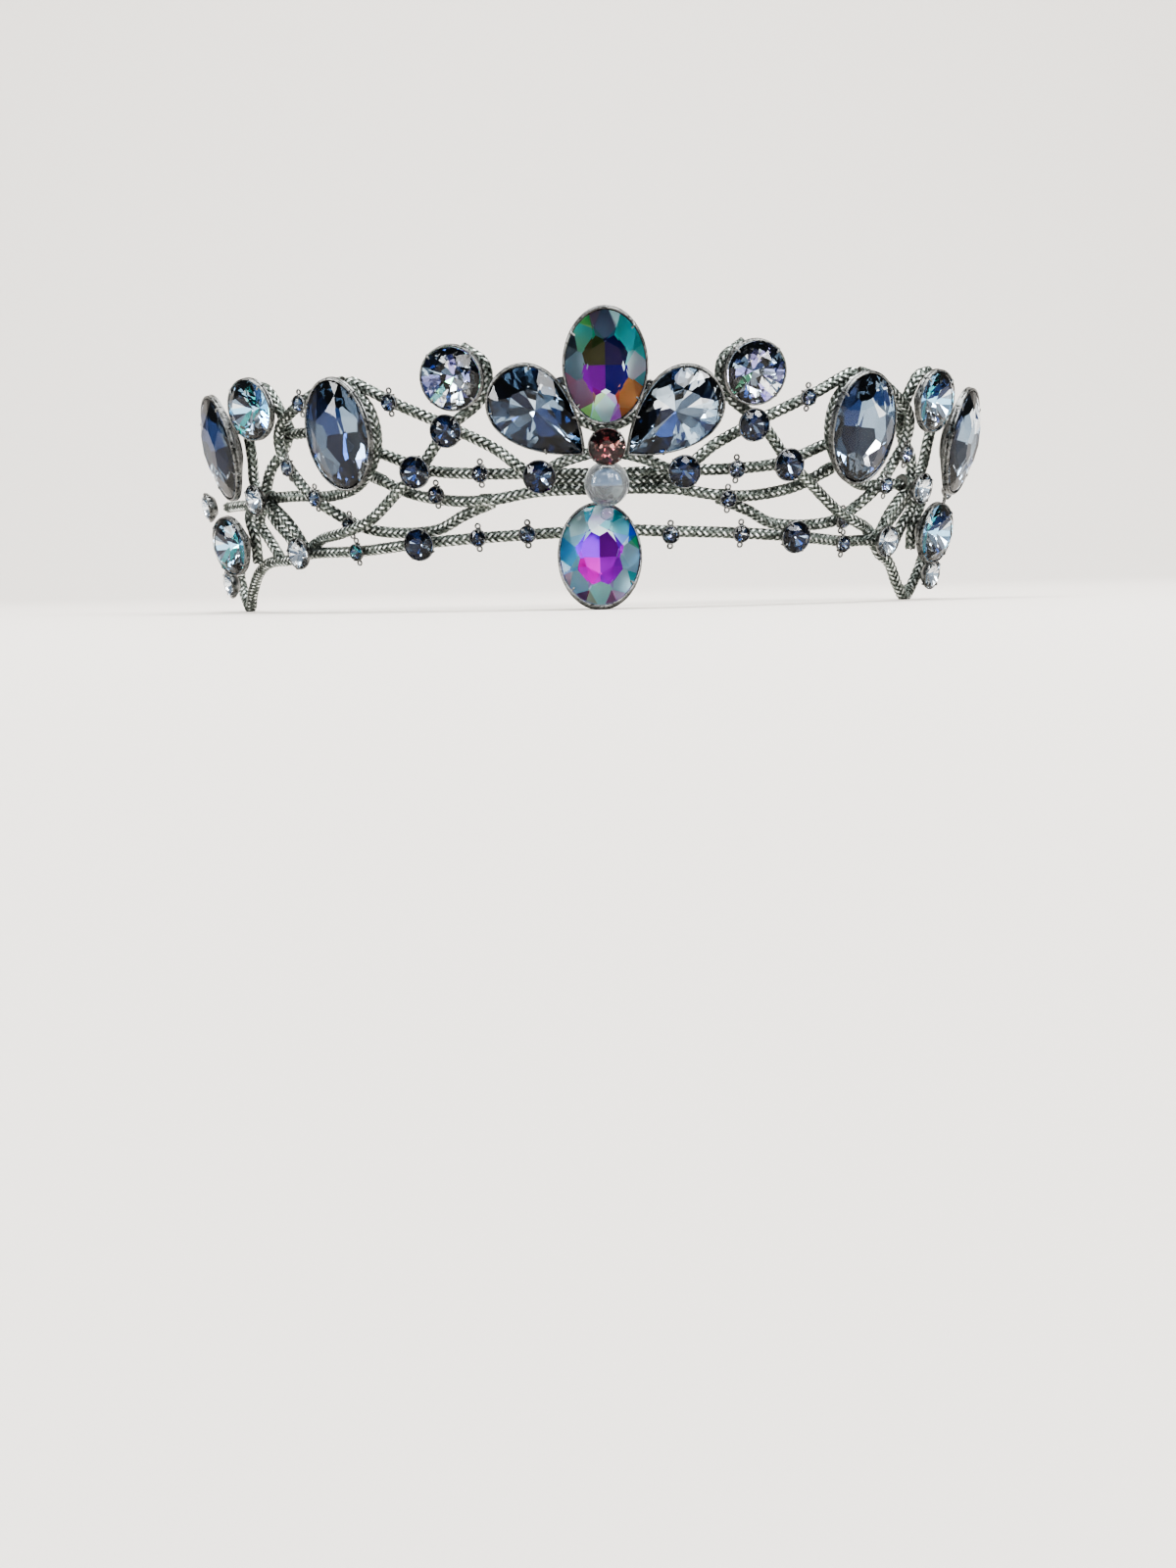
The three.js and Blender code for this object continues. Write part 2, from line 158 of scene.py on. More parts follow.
# A smooth line through the places, bending no more than it must between them.
def smooth_line(places):
    points = [np.array(wall_point(*place)) for place in places]
    first = 2 * points[0] - points[1]
    last = 2 * points[-1] - points[-2]
    padded = [first, *points, last]
    line = []
    for p0, p1, p2, p3 in zip(padded, padded[1:], padded[2:], padded[3:]):
        d0, d1, d2 = (math.sqrt(np.linalg.norm(b - a)) for a, b in ((p0, p1), (p1, p2), (p2, p3)))
        t1 = d1 * ((p1 - p0) / d0 - (p2 - p0) / (d0 + d1) + (p2 - p1) / d1)
        t2 = d1 * ((p2 - p1) / d1 - (p3 - p1) / (d1 + d2) + (p3 - p2) / d2)
        for step in range(SAMPLES_PER_SPAN):
            w = step / SAMPLES_PER_SPAN
            line.append(
                p1 + t1 * w + (3 * p2 - 3 * p1 - 2 * t1 - t2) * w**2 + (2 * p1 - 2 * p2 + t1 + t2) * w**3
            )
    line.append(points[-1])
    return line


# ---- small helpers for meshes and node trees
def placed(name, mesh):
    piece = bpy.data.objects.new(name, mesh)
    bpy.context.scene.collection.objects.link(piece)
    return piece


def settle(piece, slot, *nodes):
    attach(piece, BODY)
    if nodes:
        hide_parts(*nodes)
    return piece


# The kind of each input follows from its value; an input without a value is a material.
INPUT_KINDS = {int: "Int", float: "Float", tuple: "Vector", type(None): "Material"}


def new_tree(name, **inputs):
    tree = bpy.data.node_groups.new(name, "GeometryNodeTree")
    tree.interface.new_socket("Geometry", in_out="INPUT", socket_type="NodeSocketGeometry")
    for label, value in inputs.items():
        kind = "NodeSocket" + INPUT_KINDS[type(value)]
        label = label.replace("_", " ").title()
        socket = tree.interface.new_socket(label, in_out="INPUT", socket_type=kind)
        if value is not None:
            socket.default_value = value
    tree.interface.new_socket("Geometry", in_out="OUTPUT", socket_type="NodeSocketGeometry")
    return tree, tree.nodes.new("NodeGroupInput").outputs, tree.nodes.new("NodeGroupOutput").inputs


def add_node(tree, kind, links=None, **settings):
    node = tree.nodes.new(kind)
    for key, value in settings.items():
        setattr(node, key, value)
    for key, value in (links or {}).items():
        if isinstance(value, bpy.types.NodeSocket):
            tree.links.new(value, node.inputs[key])
        else:
            node.inputs[key].default_value = value
    return node


def feed(tree, inputs, **values):
    for label, value in values.items():
        tree.links.new(value, inputs[label.replace("_", " ")])


def output_of(tree, kind, links=None, **settings):
    return add_node(tree, kind, links, **settings).outputs[0]


def math_node(tree, operation, a, b=0.0, c=0.0):
    return output_of(tree, "ShaderNodeMath", {0: a, 1: b, 2: c}, operation=operation)


def vector_node(tree, operation, a, b):
    return output_of(tree, "ShaderNodeVectorMath", {0: a, 1: b}, operation=operation)


def scaled_vector(tree, a, factor):
    return output_of(tree, "ShaderNodeVectorMath", {"Vector": a, "Scale": factor}, operation="SCALE")


# Values read on a shape and carried along with it.
def captured(tree, shape, **values):
    capture = add_node(tree, "GeometryNodeCaptureAttribute", {0: shape})
    for label, value in values.items():
        capture.capture_items.new("VECTOR" if value.type == "VECTOR" else "FLOAT", label)
    feed(tree, capture.inputs, **values)
    return capture.outputs


# Evenly spaced points on a line, by their Length apart or their Count.
def resampled(tree, line, by, amount):
    return output_of(tree, "GeometryNodeResampleCurve", {"Curve": line, by: amount}, mode=by.upper())


def circle(tree, sides, radius):
    return output_of(tree, "GeometryNodeCurvePrimitiveCircle", {"Resolution": sides, "Radius": radius})


def swept(tree, line, section, caps=True):
    return output_of(
        tree, "GeometryNodeCurveToMesh", {"Curve": line, "Profile Curve": section, "Fill Caps": caps}
    )


def finished(tree, shape, material):
    shape = output_of(tree, "GeometryNodeSetShadeSmooth", {0: shape})
    shape = output_of(tree, "GeometryNodeRealizeInstances", {0: shape})
    return output_of(tree, "GeometryNodeSetMaterial", {0: shape, "Material": material})


# Runs a tree on a mesh of guide lines and gives the plain mesh that comes out.
def grown(name, guide, tree, **values):
    modifier = guide.modifiers.new(tree.name, "NODES")
    modifier.node_group = tree
    for item in tree.interface.items_tree:
        if item.in_out == "INPUT" and item.name.replace(" ", "_").lower() in values:
            modifier[item.identifier] = values[item.name.replace(" ", "_").lower()]
    bpy.context.view_layer.update()
    evaluated = guide.evaluated_get(bpy.context.evaluated_depsgraph_get())
    mesh = bpy.data.meshes.new_from_object(evaluated)
    mesh.name = name
    guide.modifiers.remove(modifier)
    bpy.data.objects.remove(guide)
    return placed(name, mesh)


# A guide of one open or closed chain of edges for each line.
def guide_lines(lines, closed=False):
    mesh = bpy.data.meshes.new("guide")
    points = []
    edges = []
    for line in lines:
        start = len(points)
        points += [tuple(p) for p in line]
        edges += [(i, i + 1) for i in range(start, len(points) - 1)]
        if closed:
            edges.append((len(points) - 1, start))
    mesh.from_pydata(points, edges, [])
    return placed("guide", mesh)


# ---- the braid
BRAID = {
    "strands_each_way": 6,
    "pitch": 7.0 * MM,  # length along the wire of one turn of a strand
    "radius": 0.84 * MM,  # to the middle of the strands
    "wave": 0.1 * MM,  # how far a strand rises over the next
    "width": 0.58 * MM,
    "thickness": 0.18 * MM,
    "step": 0.3 * MM,
    "core": 0.74 * MM,
}
CORE_STEP = 0.6 * MM
STRAND_SIDES = 6
CORE_SIDES = 10


def braid_tree():
    tree, given, result = new_tree("braid over wire", **BRAID, thread=None, wire=None)
    make = partial(output_of, tree)
    calc = partial(math_node, tree)
    line = make("GeometryNodeMeshToCurve", {0: given["Geometry"]})
    line = resampled(tree, line, "Length", given["Step"])
    carried = captured(
        tree, line, side=add_node(tree, "GeometryNodeInputNormal").outputs["Normal"],
        ahead=make("GeometryNodeInputTangent"),
        along=add_node(tree, "GeometryNodeSplineParameter").outputs["Length"],
    )
    side, ahead, along = (carried[label] for label in ("side", "ahead", "along"))

    ways = given["Strands Each Way"]
    copies = add_node(
        tree, "GeometryNodeDuplicateElements",
        {0: carried[0], "Amount": calc("MULTIPLY", ways, 2.0)}, domain="SPLINE",
    )
    index = copies.outputs["Duplicate Index"]
    way = calc("MULTIPLY_ADD", calc("MODULO", index, 2.0), -2.0, 1.0)
    number = calc("FLOOR", calc("DIVIDE", index, 2.0))
    turns = calc("DIVIDE", along, given["Pitch"])
    share = calc("DIVIDE", number, ways)
    angle = calc("MULTIPLY", calc("MULTIPLY_ADD", way, turns, share), 2 * math.pi)
    # Over two and under two: the crossings are counted along the strand.
    crossing = calc("MULTIPLY", calc("MULTIPLY", turns, ways), 2.0)
    phase = calc("MULTIPLY_ADD", way, crossing, calc("MULTIPLY", number, 2.0))
    wave = calc("COSINE", calc("MULTIPLY_ADD", phase, math.pi / 2, -math.pi / 4))
    crest = calc("MULTIPLY", wave, way)
    reach = calc("ADD", given["Radius"], calc("MULTIPLY", crest, given["Wave"]))
    across = vector_node(tree, "CROSS_PRODUCT", ahead, side)
    radial = vector_node(
        tree, "ADD", scaled_vector(tree, side, calc("COSINE", angle)),
        scaled_vector(tree, across, calc("SINE", angle)),
    )
    strands = make(
        "GeometryNodeSetPosition",
        {"Geometry": copies.outputs[0], "Offset": scaled_vector(tree, radial, reach)},
    )
    strands = make("GeometryNodeSetCurveNormal", {"Curve": strands, "Normal": radial}, mode="FREE")
    strands = captured(tree, strands, crest=crest)
    size = make("ShaderNodeCombineXYZ", {0: given["Thickness"], 1: given["Width"], 2: 1.0})
    section = circle(tree, STRAND_SIDES, radius=0.5)
    section = make("GeometryNodeTransform", {"Geometry": section, "Scale": size})
    spot = add_node(tree, "ShaderNodeSeparateXYZ", {0: make("GeometryNodeInputPosition")})
    section = captured(tree, section, across=calc("DIVIDE", spot.outputs["Y"], given["Width"]))
    braid = swept(tree, strands[0], section[0])
    for label, value in (("along", along), ("across", section["across"]), ("crest", strands["crest"])):
        braid = make(
            "GeometryNodeStoreNamedAttribute", {"Geometry": braid, "Name": label, "Value": value}
        )
    core_line = resampled(tree, line, "Length", CORE_STEP)
    core = swept(tree, core_line, circle(tree, CORE_SIDES, given["Core"]))
    join = add_node(tree, "GeometryNodeJoinGeometry")
    tree.links.new(finished(tree, core, given["Wire"]), join.inputs[0])
    tree.links.new(finished(tree, braid, given["Thread"]), join.inputs[0])
    feed(tree, result, Geometry=join.outputs[0])
    return tree


# ---- shader helpers
def new_material(name, **plain):
    material = bpy.data.materials.new(name)
    material.use_nodes = True
    tree = material.node_tree
    shader = tree.nodes["Principled BSDF"]
    for key, value in plain.items():
        shader.inputs[key.replace("_", " ")].default_value = value
    return material, tree, shader


def rgb(red, green, blue):
    return (red, green, blue, 1.0)


def colour_mix(tree, factor, low, high):
    mix = add_node(tree, "ShaderNodeMix", {0: factor, 6: low, 7: high}, data_type="RGBA")
    return mix.outputs[2]


def map_range(tree, value, start=0.0, end=1.0, low=0.0, high=1.0):
    return output_of(
        tree, "ShaderNodeMapRange",
        {"Value": value, "From Min": start, "From Max": end, "To Min": low, "To Max": high},
    )


def object_place(tree):
    return add_node(tree, "ShaderNodeTexCoord").outputs["Object"]


def noise(tree, scale, detail):
    return output_of(
        tree, "ShaderNodeTexNoise", {"Vector": object_place(tree), "Scale": scale, "Detail": detail}
    )


def attribute(tree, name, output="Fac"):
    return add_node(tree, "ShaderNodeAttribute", attribute_name=name).outputs[output]


def raise_surface(tree, shader, height, strength, distance):
    bump = output_of(
        tree, "ShaderNodeBump", {"Height": height, "Strength": strength, "Distance": distance}
    )
    feed(tree, shader.inputs, Normal=bump)


# Tarnish: slow patches of dull metal, with fine grains that catch the light.
def tarnish_group():
    tree = bpy.data.node_groups.new("tarnish and glint", "ShaderNodeTree")
    for way, kind, labels in (
        ("INPUT", "Color", ("Bright", "Dull")),
        ("INPUT", "Float", ("Patch Scale", "Grain Scale", "Smoothest", "Roughest")),
        ("OUTPUT", "Color", ("Color",)), ("OUTPUT", "Float", ("Roughness", "Grain")),
    ):
        for label in labels:
            tree.interface.new_socket(label, in_out=way, socket_type="NodeSocket" + kind)
    given = tree.nodes.new("NodeGroupInput").outputs
    result = tree.nodes.new("NodeGroupOutput").inputs
    patches = noise(tree, given["Patch Scale"], 4.0)
    grains = add_node(
        tree, "ShaderNodeTexVoronoi", {"Vector": object_place(tree), "Scale": given["Grain Scale"]}
    )
    one_grain = output_of(tree, "ShaderNodeSeparateColor", {0: grains.outputs["Color"]})
    bared = math_node(tree, "ADD", patches, math_node(tree, "MULTIPLY", one_grain, 0.45))
    mask = map_range(tree, bared, 0.45, 0.95)
    roughness = map_range(tree, one_grain, low=given["Smoothest"], high=given["Roughest"])
    colour = colour_mix(tree, mask, given["Dull"], given["Bright"])
    feed(tree, result, Color=colour, Roughness=roughness, Grain=one_grain)
    return tree


TARNISH = tarnish_group()


def tarnish(tree, **values):
    group = add_node(tree, "ShaderNodeGroup", node_tree=TARNISH)
    for key, value in values.items():
        group.inputs[key.replace("_", " ")].default_value = value
    return group.outputs


def tarnished_metal(name, metallic, **values):
    material, tree, shader = new_material(name, Metallic=metallic)
    worn = tarnish(tree, **values)
    feed(tree, shader.inputs, Base_Color=worn["Color"], Roughness=worn["Roughness"])
    return material, tree, shader, worn


# Silver thread: three fine filaments twisted side by side in each strand. Most of it has gone a dull
# olive grey; the tops of the strands carry a near-white painted highlight in short stretches.
FILAMENTS = 3
FILAMENT_TWIST = 1.1 / MM


def silver_thread():
    material, tree, shader, worn = tarnished_metal(
        "silver thread", 0.9, Bright=rgb(0.26, 0.29, 0.265), Dull=rgb(0.055, 0.066, 0.057),
        Patch_Scale=260.0, Grain_Scale=4200.0, Smoothest=0.22, Roughest=0.5,
    )
    calc = partial(math_node, tree)
    crest, across, along = (attribute(tree, name) for name in ("crest", "across", "along"))
    # A near-white painted highlight on the top of each strand's rise, more in some stretches than in
    # others.
    top = map_range(tree, crest, 0.45, 0.8)
    middle = map_range(tree, calc("ABSOLUTE", across), 0.45, 0.25)
    highlight_stretch = map_range(tree, noise(tree, 900.0, 1.0), 0.42, 0.52)
    painted_highlight = calc("MULTIPLY", calc("MULTIPLY", top, middle), highlight_stretch)
    thread_with_painted_highlight = colour_mix(tree, painted_highlight, worn["Color"], rgb(0.9, 0.93, 0.9))
    feed(tree, shader.inputs, Base_Color=thread_with_painted_highlight)
    lay = calc("MULTIPLY_ADD", across, float(FILAMENTS), calc("MULTIPLY", along, FILAMENT_TWIST))
    ridge = calc("ABSOLUTE", calc("SINE", calc("MULTIPLY", lay, math.pi)))
    raise_surface(tree, shader, ridge, 0.6, 0.06 * MM)
    return material


BRAID_TREE = braid_tree()
SILVER_THREAD = silver_thread()
STEEL_WIRE = tarnished_metal(
    "steel wire", 0.85, Bright=rgb(0.1, 0.1, 0.09), Dull=rgb(0.03, 0.031, 0.027), Patch_Scale=300.0,
    Grain_Scale=1800.0, Smoothest=0.35, Roughest=0.7,
)[0]


# What would reach under the table is filed flat at table height.
def filed_flat(mesh):
    for vertex in mesh.vertices:
        vertex.co.z = max(vertex.co.z, 0.0)


def braided(name, lines, *nodes, **sizes):
    piece = grown(name, guide_lines(lines), BRAID_TREE, thread=SILVER_THREAD, wire=STEEL_WIRE, **sizes)
    filed_flat(piece.data)
    return settle(piece, "silver_braid", *nodes)


def braided_wire(name, routes):
    return braided(name + "_braid", [smooth_line(route) for route in routes], name)


def on_wing(side, route):
    return [(wing_turn(side, turn, height), height, out) for turn, height, out in route]


for side in SIGNS:
    for name, route in (
        ("frame_wire", FRAME_WIRE),
        ("curl_wire", CURL_WIRE),
        ("middle_wire", MIDDLE_WIRE),
        ("lower_wire", LOWER_WIRE),
        ("cross_wire", CROSS_WIRE),
        ("rim_wire", RIM_WIRE + END_LOOP[side]),
    ):
        braided_wire(f"{name}_{side}", [on_wing(side, route)])
    fan = FAN + [STEM] if side == "left" else FAN
    braided_wire(f"fan_wire_{side}", [on_wing(side, route) for route in fan])
braided_wire("centre_spine", SPINE)

# ======== the cut crystals
# Pressed and polished glass with a coloured mirror foil on its back. The front is clear glass cut to
# a flat table, stars, kites and halves, and the foiled facets behind it run down to a point or to a
# shallow window. Each stone is dropped into its setting from the front.
GIRDLE = 0.22
KITE_CORNER = 0.8  # where a kite, two halves and a star meet, as a share of the half-width
LOWER_CORNER = 0.3
WINDOW_SHARE = 0.5  # the shallow facets at the back of a window cut
WINDOW_STEEPER = 1.2  # mm that the long facets outside the window aim below its point
LOWER_STEEPER = 0.25
GIRDLE_SIDES = 48
PEAR_TAPER = 0.42
PEAR_WIDEN = 1.17
STONE_GROW = 0.12  # the glass fills a little more of its setting than its bare seat
SPARE_DEPTH = 0.5  # rough glass under the point, which the cutting takes off
WELD = 2e-3  # corners of facets closer than this are one
LARGE_STONE = 4  # half-width in mm over which a stone has a seat of its own

TABLE, STAR, KITE, HALF, EDGE, MAIN, LOWER, WINDOW = range(8)


def oval_edge(t):
    return Vector((math.sin(t), math.cos(t)))


def pear_edge(t):
    taper = (math.cos(t / 2) ** 2) ** PEAR_TAPER
    return Vector((PEAR_WIDEN * math.sin(t) * taper, math.cos(t)))


# Half-sizes and depths in mm; table is the share of the half-width that the flat table takes, and
# deepest is how far the point at the back lies above the middle, as a share of the half-height.
Cut = namedtuple("Cut", "edge up across crown depth table deepest window", defaults=(0.56, 0.0, False))
WINDOW_OVAL = Cut(oval_edge, 9, 6.5, 2.1, 3.0, table=0.48, window=True)
LARGE_PEAR = Cut(pear_edge, 9, 6.5, 2.1, 3.0, deepest=0.12)
LARGE_ROUND = Cut(oval_edge, 5, 5, 1.7, 3.0)
CHATON = Cut(oval_edge, 2.55, 2.55, 0.95, 1.4)
ROSE_CUT = Cut(oval_edge, 2.9, 2.9, 1.15, 2.0, table=0.45)
SMALL_CUT = Cut(oval_edge, 1.25, 1.25, 0.55, 0.85)


# Tiers of facets: name, how many, turned by how much of a facet, then the outer and inner points
# that each facet's plane passes through, as share of the half-width and height over the girdle.
def cutting_plan(crown, depth, table, window):
    half_step = math.cos(math.pi / 8)
    quarter_step = math.cos(math.pi / 16)
    rise = crown - GIRDLE
    drop = depth - GIRDLE
    corner = GIRDLE + rise * (1 - KITE_CORNER * half_step) / (1 - table)
    lower = -depth + drop * LOWER_CORNER * half_step
    front = [
        (KITE, 8, 0.0, (1, GIRDLE), (table, crown)),
        (STAR, 8, 0.5, (KITE_CORNER, corner), (table * half_step, crown)),
        (HALF, 16, 0.5, (1, GIRDLE), (KITE_CORNER * quarter_step, corner)),
    ]
    if window:
        steep = depth + WINDOW_STEEPER
        shoulder = -GIRDLE - (steep - GIRDLE) * (1 - WINDOW_SHARE)
        return front + [
            (MAIN, 8, 0.0, (1, -GIRDLE), (0, -steep)),
            (LOWER, 16, 0.5, (1, -GIRDLE), (WINDOW_SHARE, shoulder - LOWER_STEEPER)),
            (WINDOW, 4, 0.5, (WINDOW_SHARE, shoulder), (0, -depth)),
        ]
    return front + [
        (MAIN, 8, 0.0, (1, -GIRDLE), (0, -depth)),
        (LOWER, 16, 0.5, (1, -GIRDLE), (LOWER_CORNER * quarter_step, lower)),
    ]


# Each facet is one flat cut through the rough, as on a wheel.
def cut_crystal(cut):
    centre = Vector((0, cut.deepest))
    edge = [cut.edge(2 * math.pi * i / GIRDLE_SIDES) for i in range(GIRDLE_SIDES)]
    crystal = bmesh.new()
    tier = crystal.faces.layers.int.new("tier")
    sector = crystal.faces.layers.int.new("sector")
    top = [crystal.verts.new((p.x, p.y, cut.crown)) for p in edge]
    bottom = [crystal.verts.new((p.x, p.y, -cut.depth - SPARE_DEPTH)) for p in edge]
    crystal.faces.new(top)[tier] = TABLE
    crystal.faces.new(bottom[::-1])[tier] = MAIN
    for i in range(GIRDLE_SIDES):
        j = (i + 1) % GIRDLE_SIDES
        crystal.faces.new((top[i], bottom[i], bottom[j], top[j]))[tier] = EDGE
    plan = cutting_plan(cut.crown, cut.depth, cut.table, cut.window)
    for name, count, shift, (outer, outer_z), (inner, inner_z) in plan:
        for number in range(count):
            angle = 2 * math.pi * (number + shift) / count
            away = Vector((math.sin(angle), math.cos(angle)))
            reach = max(away.dot(p - centre) for p in edge)
            level = abs(inner_z - outer_z)
            lift = reach * (outer - inner) * (1 if outer_z > 0 else -1)
            place = centre + away * reach * outer
            split = bmesh.ops.bisect_plane(
                crystal, geom=crystal.verts[:] + crystal.edges[:] + crystal.faces[:], dist=1e-5,
                plane_co=(place.x, place.y, outer_z),
                plane_no=(away.x * level, away.y * level, lift), clear_outer=True,
            )
            rim = [e for e in split["geom_cut"] if isinstance(e, bmesh.types.BMEdge) and e.is_boundary]
            if len(rim) < 3:
                continue
            facet = bmesh.ops.contextual_create(crystal, geom=rim)["faces"][0]
            facet[tier] = name
            facet[sector] = number
    bmesh.ops.remove_doubles(crystal, verts=crystal.verts[:], dist=WELD)
    bmesh.ops.recalc_face_normals(crystal, faces=crystal.faces[:])
    grow = STONE_GROW if cut.across > LARGE_STONE else 0.0
    for vertex in crystal.verts:
        vertex.co.x *= cut.across + grow
        vertex.co.y *= cut.up + grow
    return crystal


def stone_pose(turn, height, out, face=0.0, lean=0.0, spin=0.0):
    facing = (
        wall_frame(turn)
        @ Matrix.Rotation(math.radians(face), 3, "Y")
        @ Matrix.Rotation(math.radians(-lean), 3, "X")
        @ Matrix.Rotation(math.radians(spin), 3, "Z")
    )
    return Matrix.Translation(wall_point(turn, height, out)) @ (facing * MM).to_4x4()


# Foil colours as they show through the glass. They are in part the foil's own colour and in part
# painted light: the white and palest facets of a stone are painted highlights, and its night, dusk
# and dark slate facets are painted reflections of a dark room.
FOIL_AND_REFLECTION_COLOURS = {
    "night": rgb(0.008, 0.014, 0.04), "navy": rgb(0.022, 0.045, 0.13), "slate": rgb(0.08, 0.12, 0.18),
    "steel": rgb(0.25, 0.33, 0.42), "ice": rgb(0.56, 0.67, 0.77), "sky": rgb(0.4, 0.72, 0.97),
    "silver": rgb(0.84, 0.89, 0.93), "white": rgb(1.0, 1.0, 1.0), "violet": rgb(0.42, 0.4, 0.75),
    "dusk": rgb(0.012, 0.007, 0.05), "indigo": rgb(0.008, 0.0, 0.19), "iris": rgb(0.17, 0.012, 0.5),
    "purple": rgb(0.16, 0.0, 0.26), "fuchsia": rgb(0.75, 0.03, 0.6), "orchid": rgb(0.3, 0.015, 0.42),
    "magenta": rgb(1.0, 0.3, 0.85), "orange": rgb(0.95, 0.32, 0.1), "lime": rgb(0.8, 1.0, 0.35),
    "olive": rgb(0.032, 0.032, 0.014), "teal": rgb(0.15, 0.66, 0.66), "aqua": rgb(0.22, 0.98, 0.92),
    "green": rgb(0.3, 0.85, 0.5), "wine": rgb(0.16, 0.045, 0.055), "rose": rgb(0.4, 0.17, 0.18),
    "blush": rgb(0.9, 0.66, 0.62), "haze": rgb(0.68, 0.82, 0.85), "ember": rgb(0.9, 0.5, 0.3),
    "plum": rgb(0.5, 0.2, 0.33), "mint": rgb(0.72, 0.92, 0.84), "pink": rgb(0.98, 0.6, 0.8),
    "salmon": rgb(0.99, 0.65, 0.55), "cobalt": rgb(0.2, 0.35, 1.0),
}

# The foil of a stone: one colour for each of its 8 long facets behind the table, clockwise from the
# top, and a run of colours that repeats round the 16 short ones near the girdle. A rainbow stone also
# has the 4 facets of its window, clockwise from the top right, and a coated front: the colours of its
# 8 stars, 8 kites and 16 halves. Besides the foil's and the coat's own colours, these lists hold
# painted highlights and painted reflections, facet by facet.
CREST_FOIL_AND_REFLECTIONS = {
    MAIN: "slate aqua haze orange white plum steel teal",
    LOWER: "steel aqua aqua aqua teal orange orange magenta white lime plum plum slate slate green slate",
    WINDOW: "dusk indigo purple olive",
    STAR: "aqua teal white magenta lime white white green",
    KITE: "haze aqua white white white white white white",
    HALF: "aqua aqua aqua aqua white white ember magenta lime white white white white white green white",
}
LOWER_FOIL_AND_REFLECTIONS = {
    MAIN: "haze white haze haze mint haze sky haze",
    LOWER: "haze teal cobalt green haze teal pink plum mint plum salmon haze sky haze haze teal",
    WINDOW: "orchid orchid fuchsia iris",
    STAR: "teal cobalt haze magenta magenta salmon sky haze",
    KITE: "haze teal white white mint white sky white",
    HALF: "haze teal cobalt green white white mint pink ember mint pink white sky sky white haze",
}


def foil_and_reflections(mains, lowers):
    return {MAIN: mains, LOWER: lowers}


PEAR_LEFT_FOIL_AND_REFLECTIONS = foil_and_reflections("night ice slate navy steel night ice slate", "steel slate navy silver slate")
PEAR_RIGHT_FOIL_AND_REFLECTIONS = foil_and_reflections("slate ice steel navy silver night ice steel", "silver ice steel navy silver")
SIDE_FOIL_AND_REFLECTIONS = {
    MAIN: "slate silver steel white silver ice slate navy",
    LOWER: "steel silver ice silver steel white silver ice white slate steel navy slate navy night slate",
    WINDOW: "steel slate navy navy",
}
ROUND_FOIL_AND_REFLECTIONS = foil_and_reflections("violet navy ice white silver green violet slate", "white violet ice navy silver")
BLUE_ROUND_FOIL_AND_REFLECTIONS = foil_and_reflections("teal navy sky ice silver aqua sky night", "ice navy silver steel sky")
NAVY_FOIL_AND_REFLECTIONS = foil_and_reflections("navy night slate white night navy slate navy", "navy slate night silver navy")
CLEAR_FOIL_AND_REFLECTIONS = foil_and_reflections("silver white steel silver white ice silver slate", "white silver steel white ice")
ROSE_FOIL_AND_REFLECTIONS = foil_and_reflections("rose wine blush wine rose wine blush wine", "wine rose wine blush")


def crystal_glass(name, tint):
    return new_material(
        name, Base_Color=tint, Transmission_Weight=1.0, IOR=1.5, Roughness=0.0,
        Specular_IOR_Level=0.25,
    )


# The melt is never quite even: slow faint streaks of deeper tint.
STREAK_DEPTH = 0.9


def streaked_glass(name, tint):
    material, tree, shader = crystal_glass(name, tint)
    deeper = rgb(*(STREAK_DEPTH * part for part in tint[:3]))
    streaks = noise(tree, 150.0, 1.0)
    feed(tree, shader.inputs, Base_Color=colour_mix(tree, streaks, tint, deeper))
    return material


# The coated front of a rainbow stone: each facet passes its own colour, and the coat cuts the glare.
def coated_glass(name):
    material, tree, shader = crystal_glass(name, rgb(1, 1, 1))
    shader.inputs["Specular Tint"].default_value = rgb(0.4, 0.4, 0.4)
    feed(tree, shader.inputs, Base_Color=attribute(tree, "foil", "Color"))
    return material


# The foil is a coloured mirror seen through the glass, and pale lacquer from behind. Its colour in
# front is read per facet and holds painted highlights and painted reflections besides the foil's own
# colour.
def mirror_foil(name, gloss):
    material, tree, shader = new_material(name, Metallic=1.0)
    lacquer = tarnish(
        tree, Bright=rgb(0.62, 0.6, 0.56), Dull=rgb(0.4, 0.39, 0.36), Patch_Scale=300.0,
        Grain_Scale=5000.0, Smoothest=0.3, Roughest=0.45,
    )
    inside = add_node(tree, "ShaderNodeNewGeometry").outputs["Backfacing"]
    colour = colour_mix(tree, inside, lacquer["Color"], attribute(tree, "foil", "Color"))
    rough = map_range(tree, inside, low=lacquer["Roughness"], high=gloss)
    feed(tree, shader.inputs, Base_Color=colour, Roughness=rough)
    return material


CLEAR_GLASS = streaked_glass("clear crystal", rgb(0.97, 0.985, 1.0))
NAVY_GLASS = streaked_glass("navy crystal", rgb(0.55, 0.68, 0.86))
ROSE_GLASS = streaked_glass("rose crystal", rgb(0.84, 0.55, 0.55))
RAINBOW_GLASS = coated_glass("rainbow coated crystal")
FOIL = mirror_foil("mirror foil", 0.03)
RAINBOW_FOIL = mirror_foil("rainbow foil", 0.3)


def solid_piece(name, whole, *materials):
    mesh = bpy.data.meshes.new(name)
    whole.to_mesh(mesh)
    whole.free()
    for material in materials:
        mesh.materials.append(material)
    return placed(name, mesh)


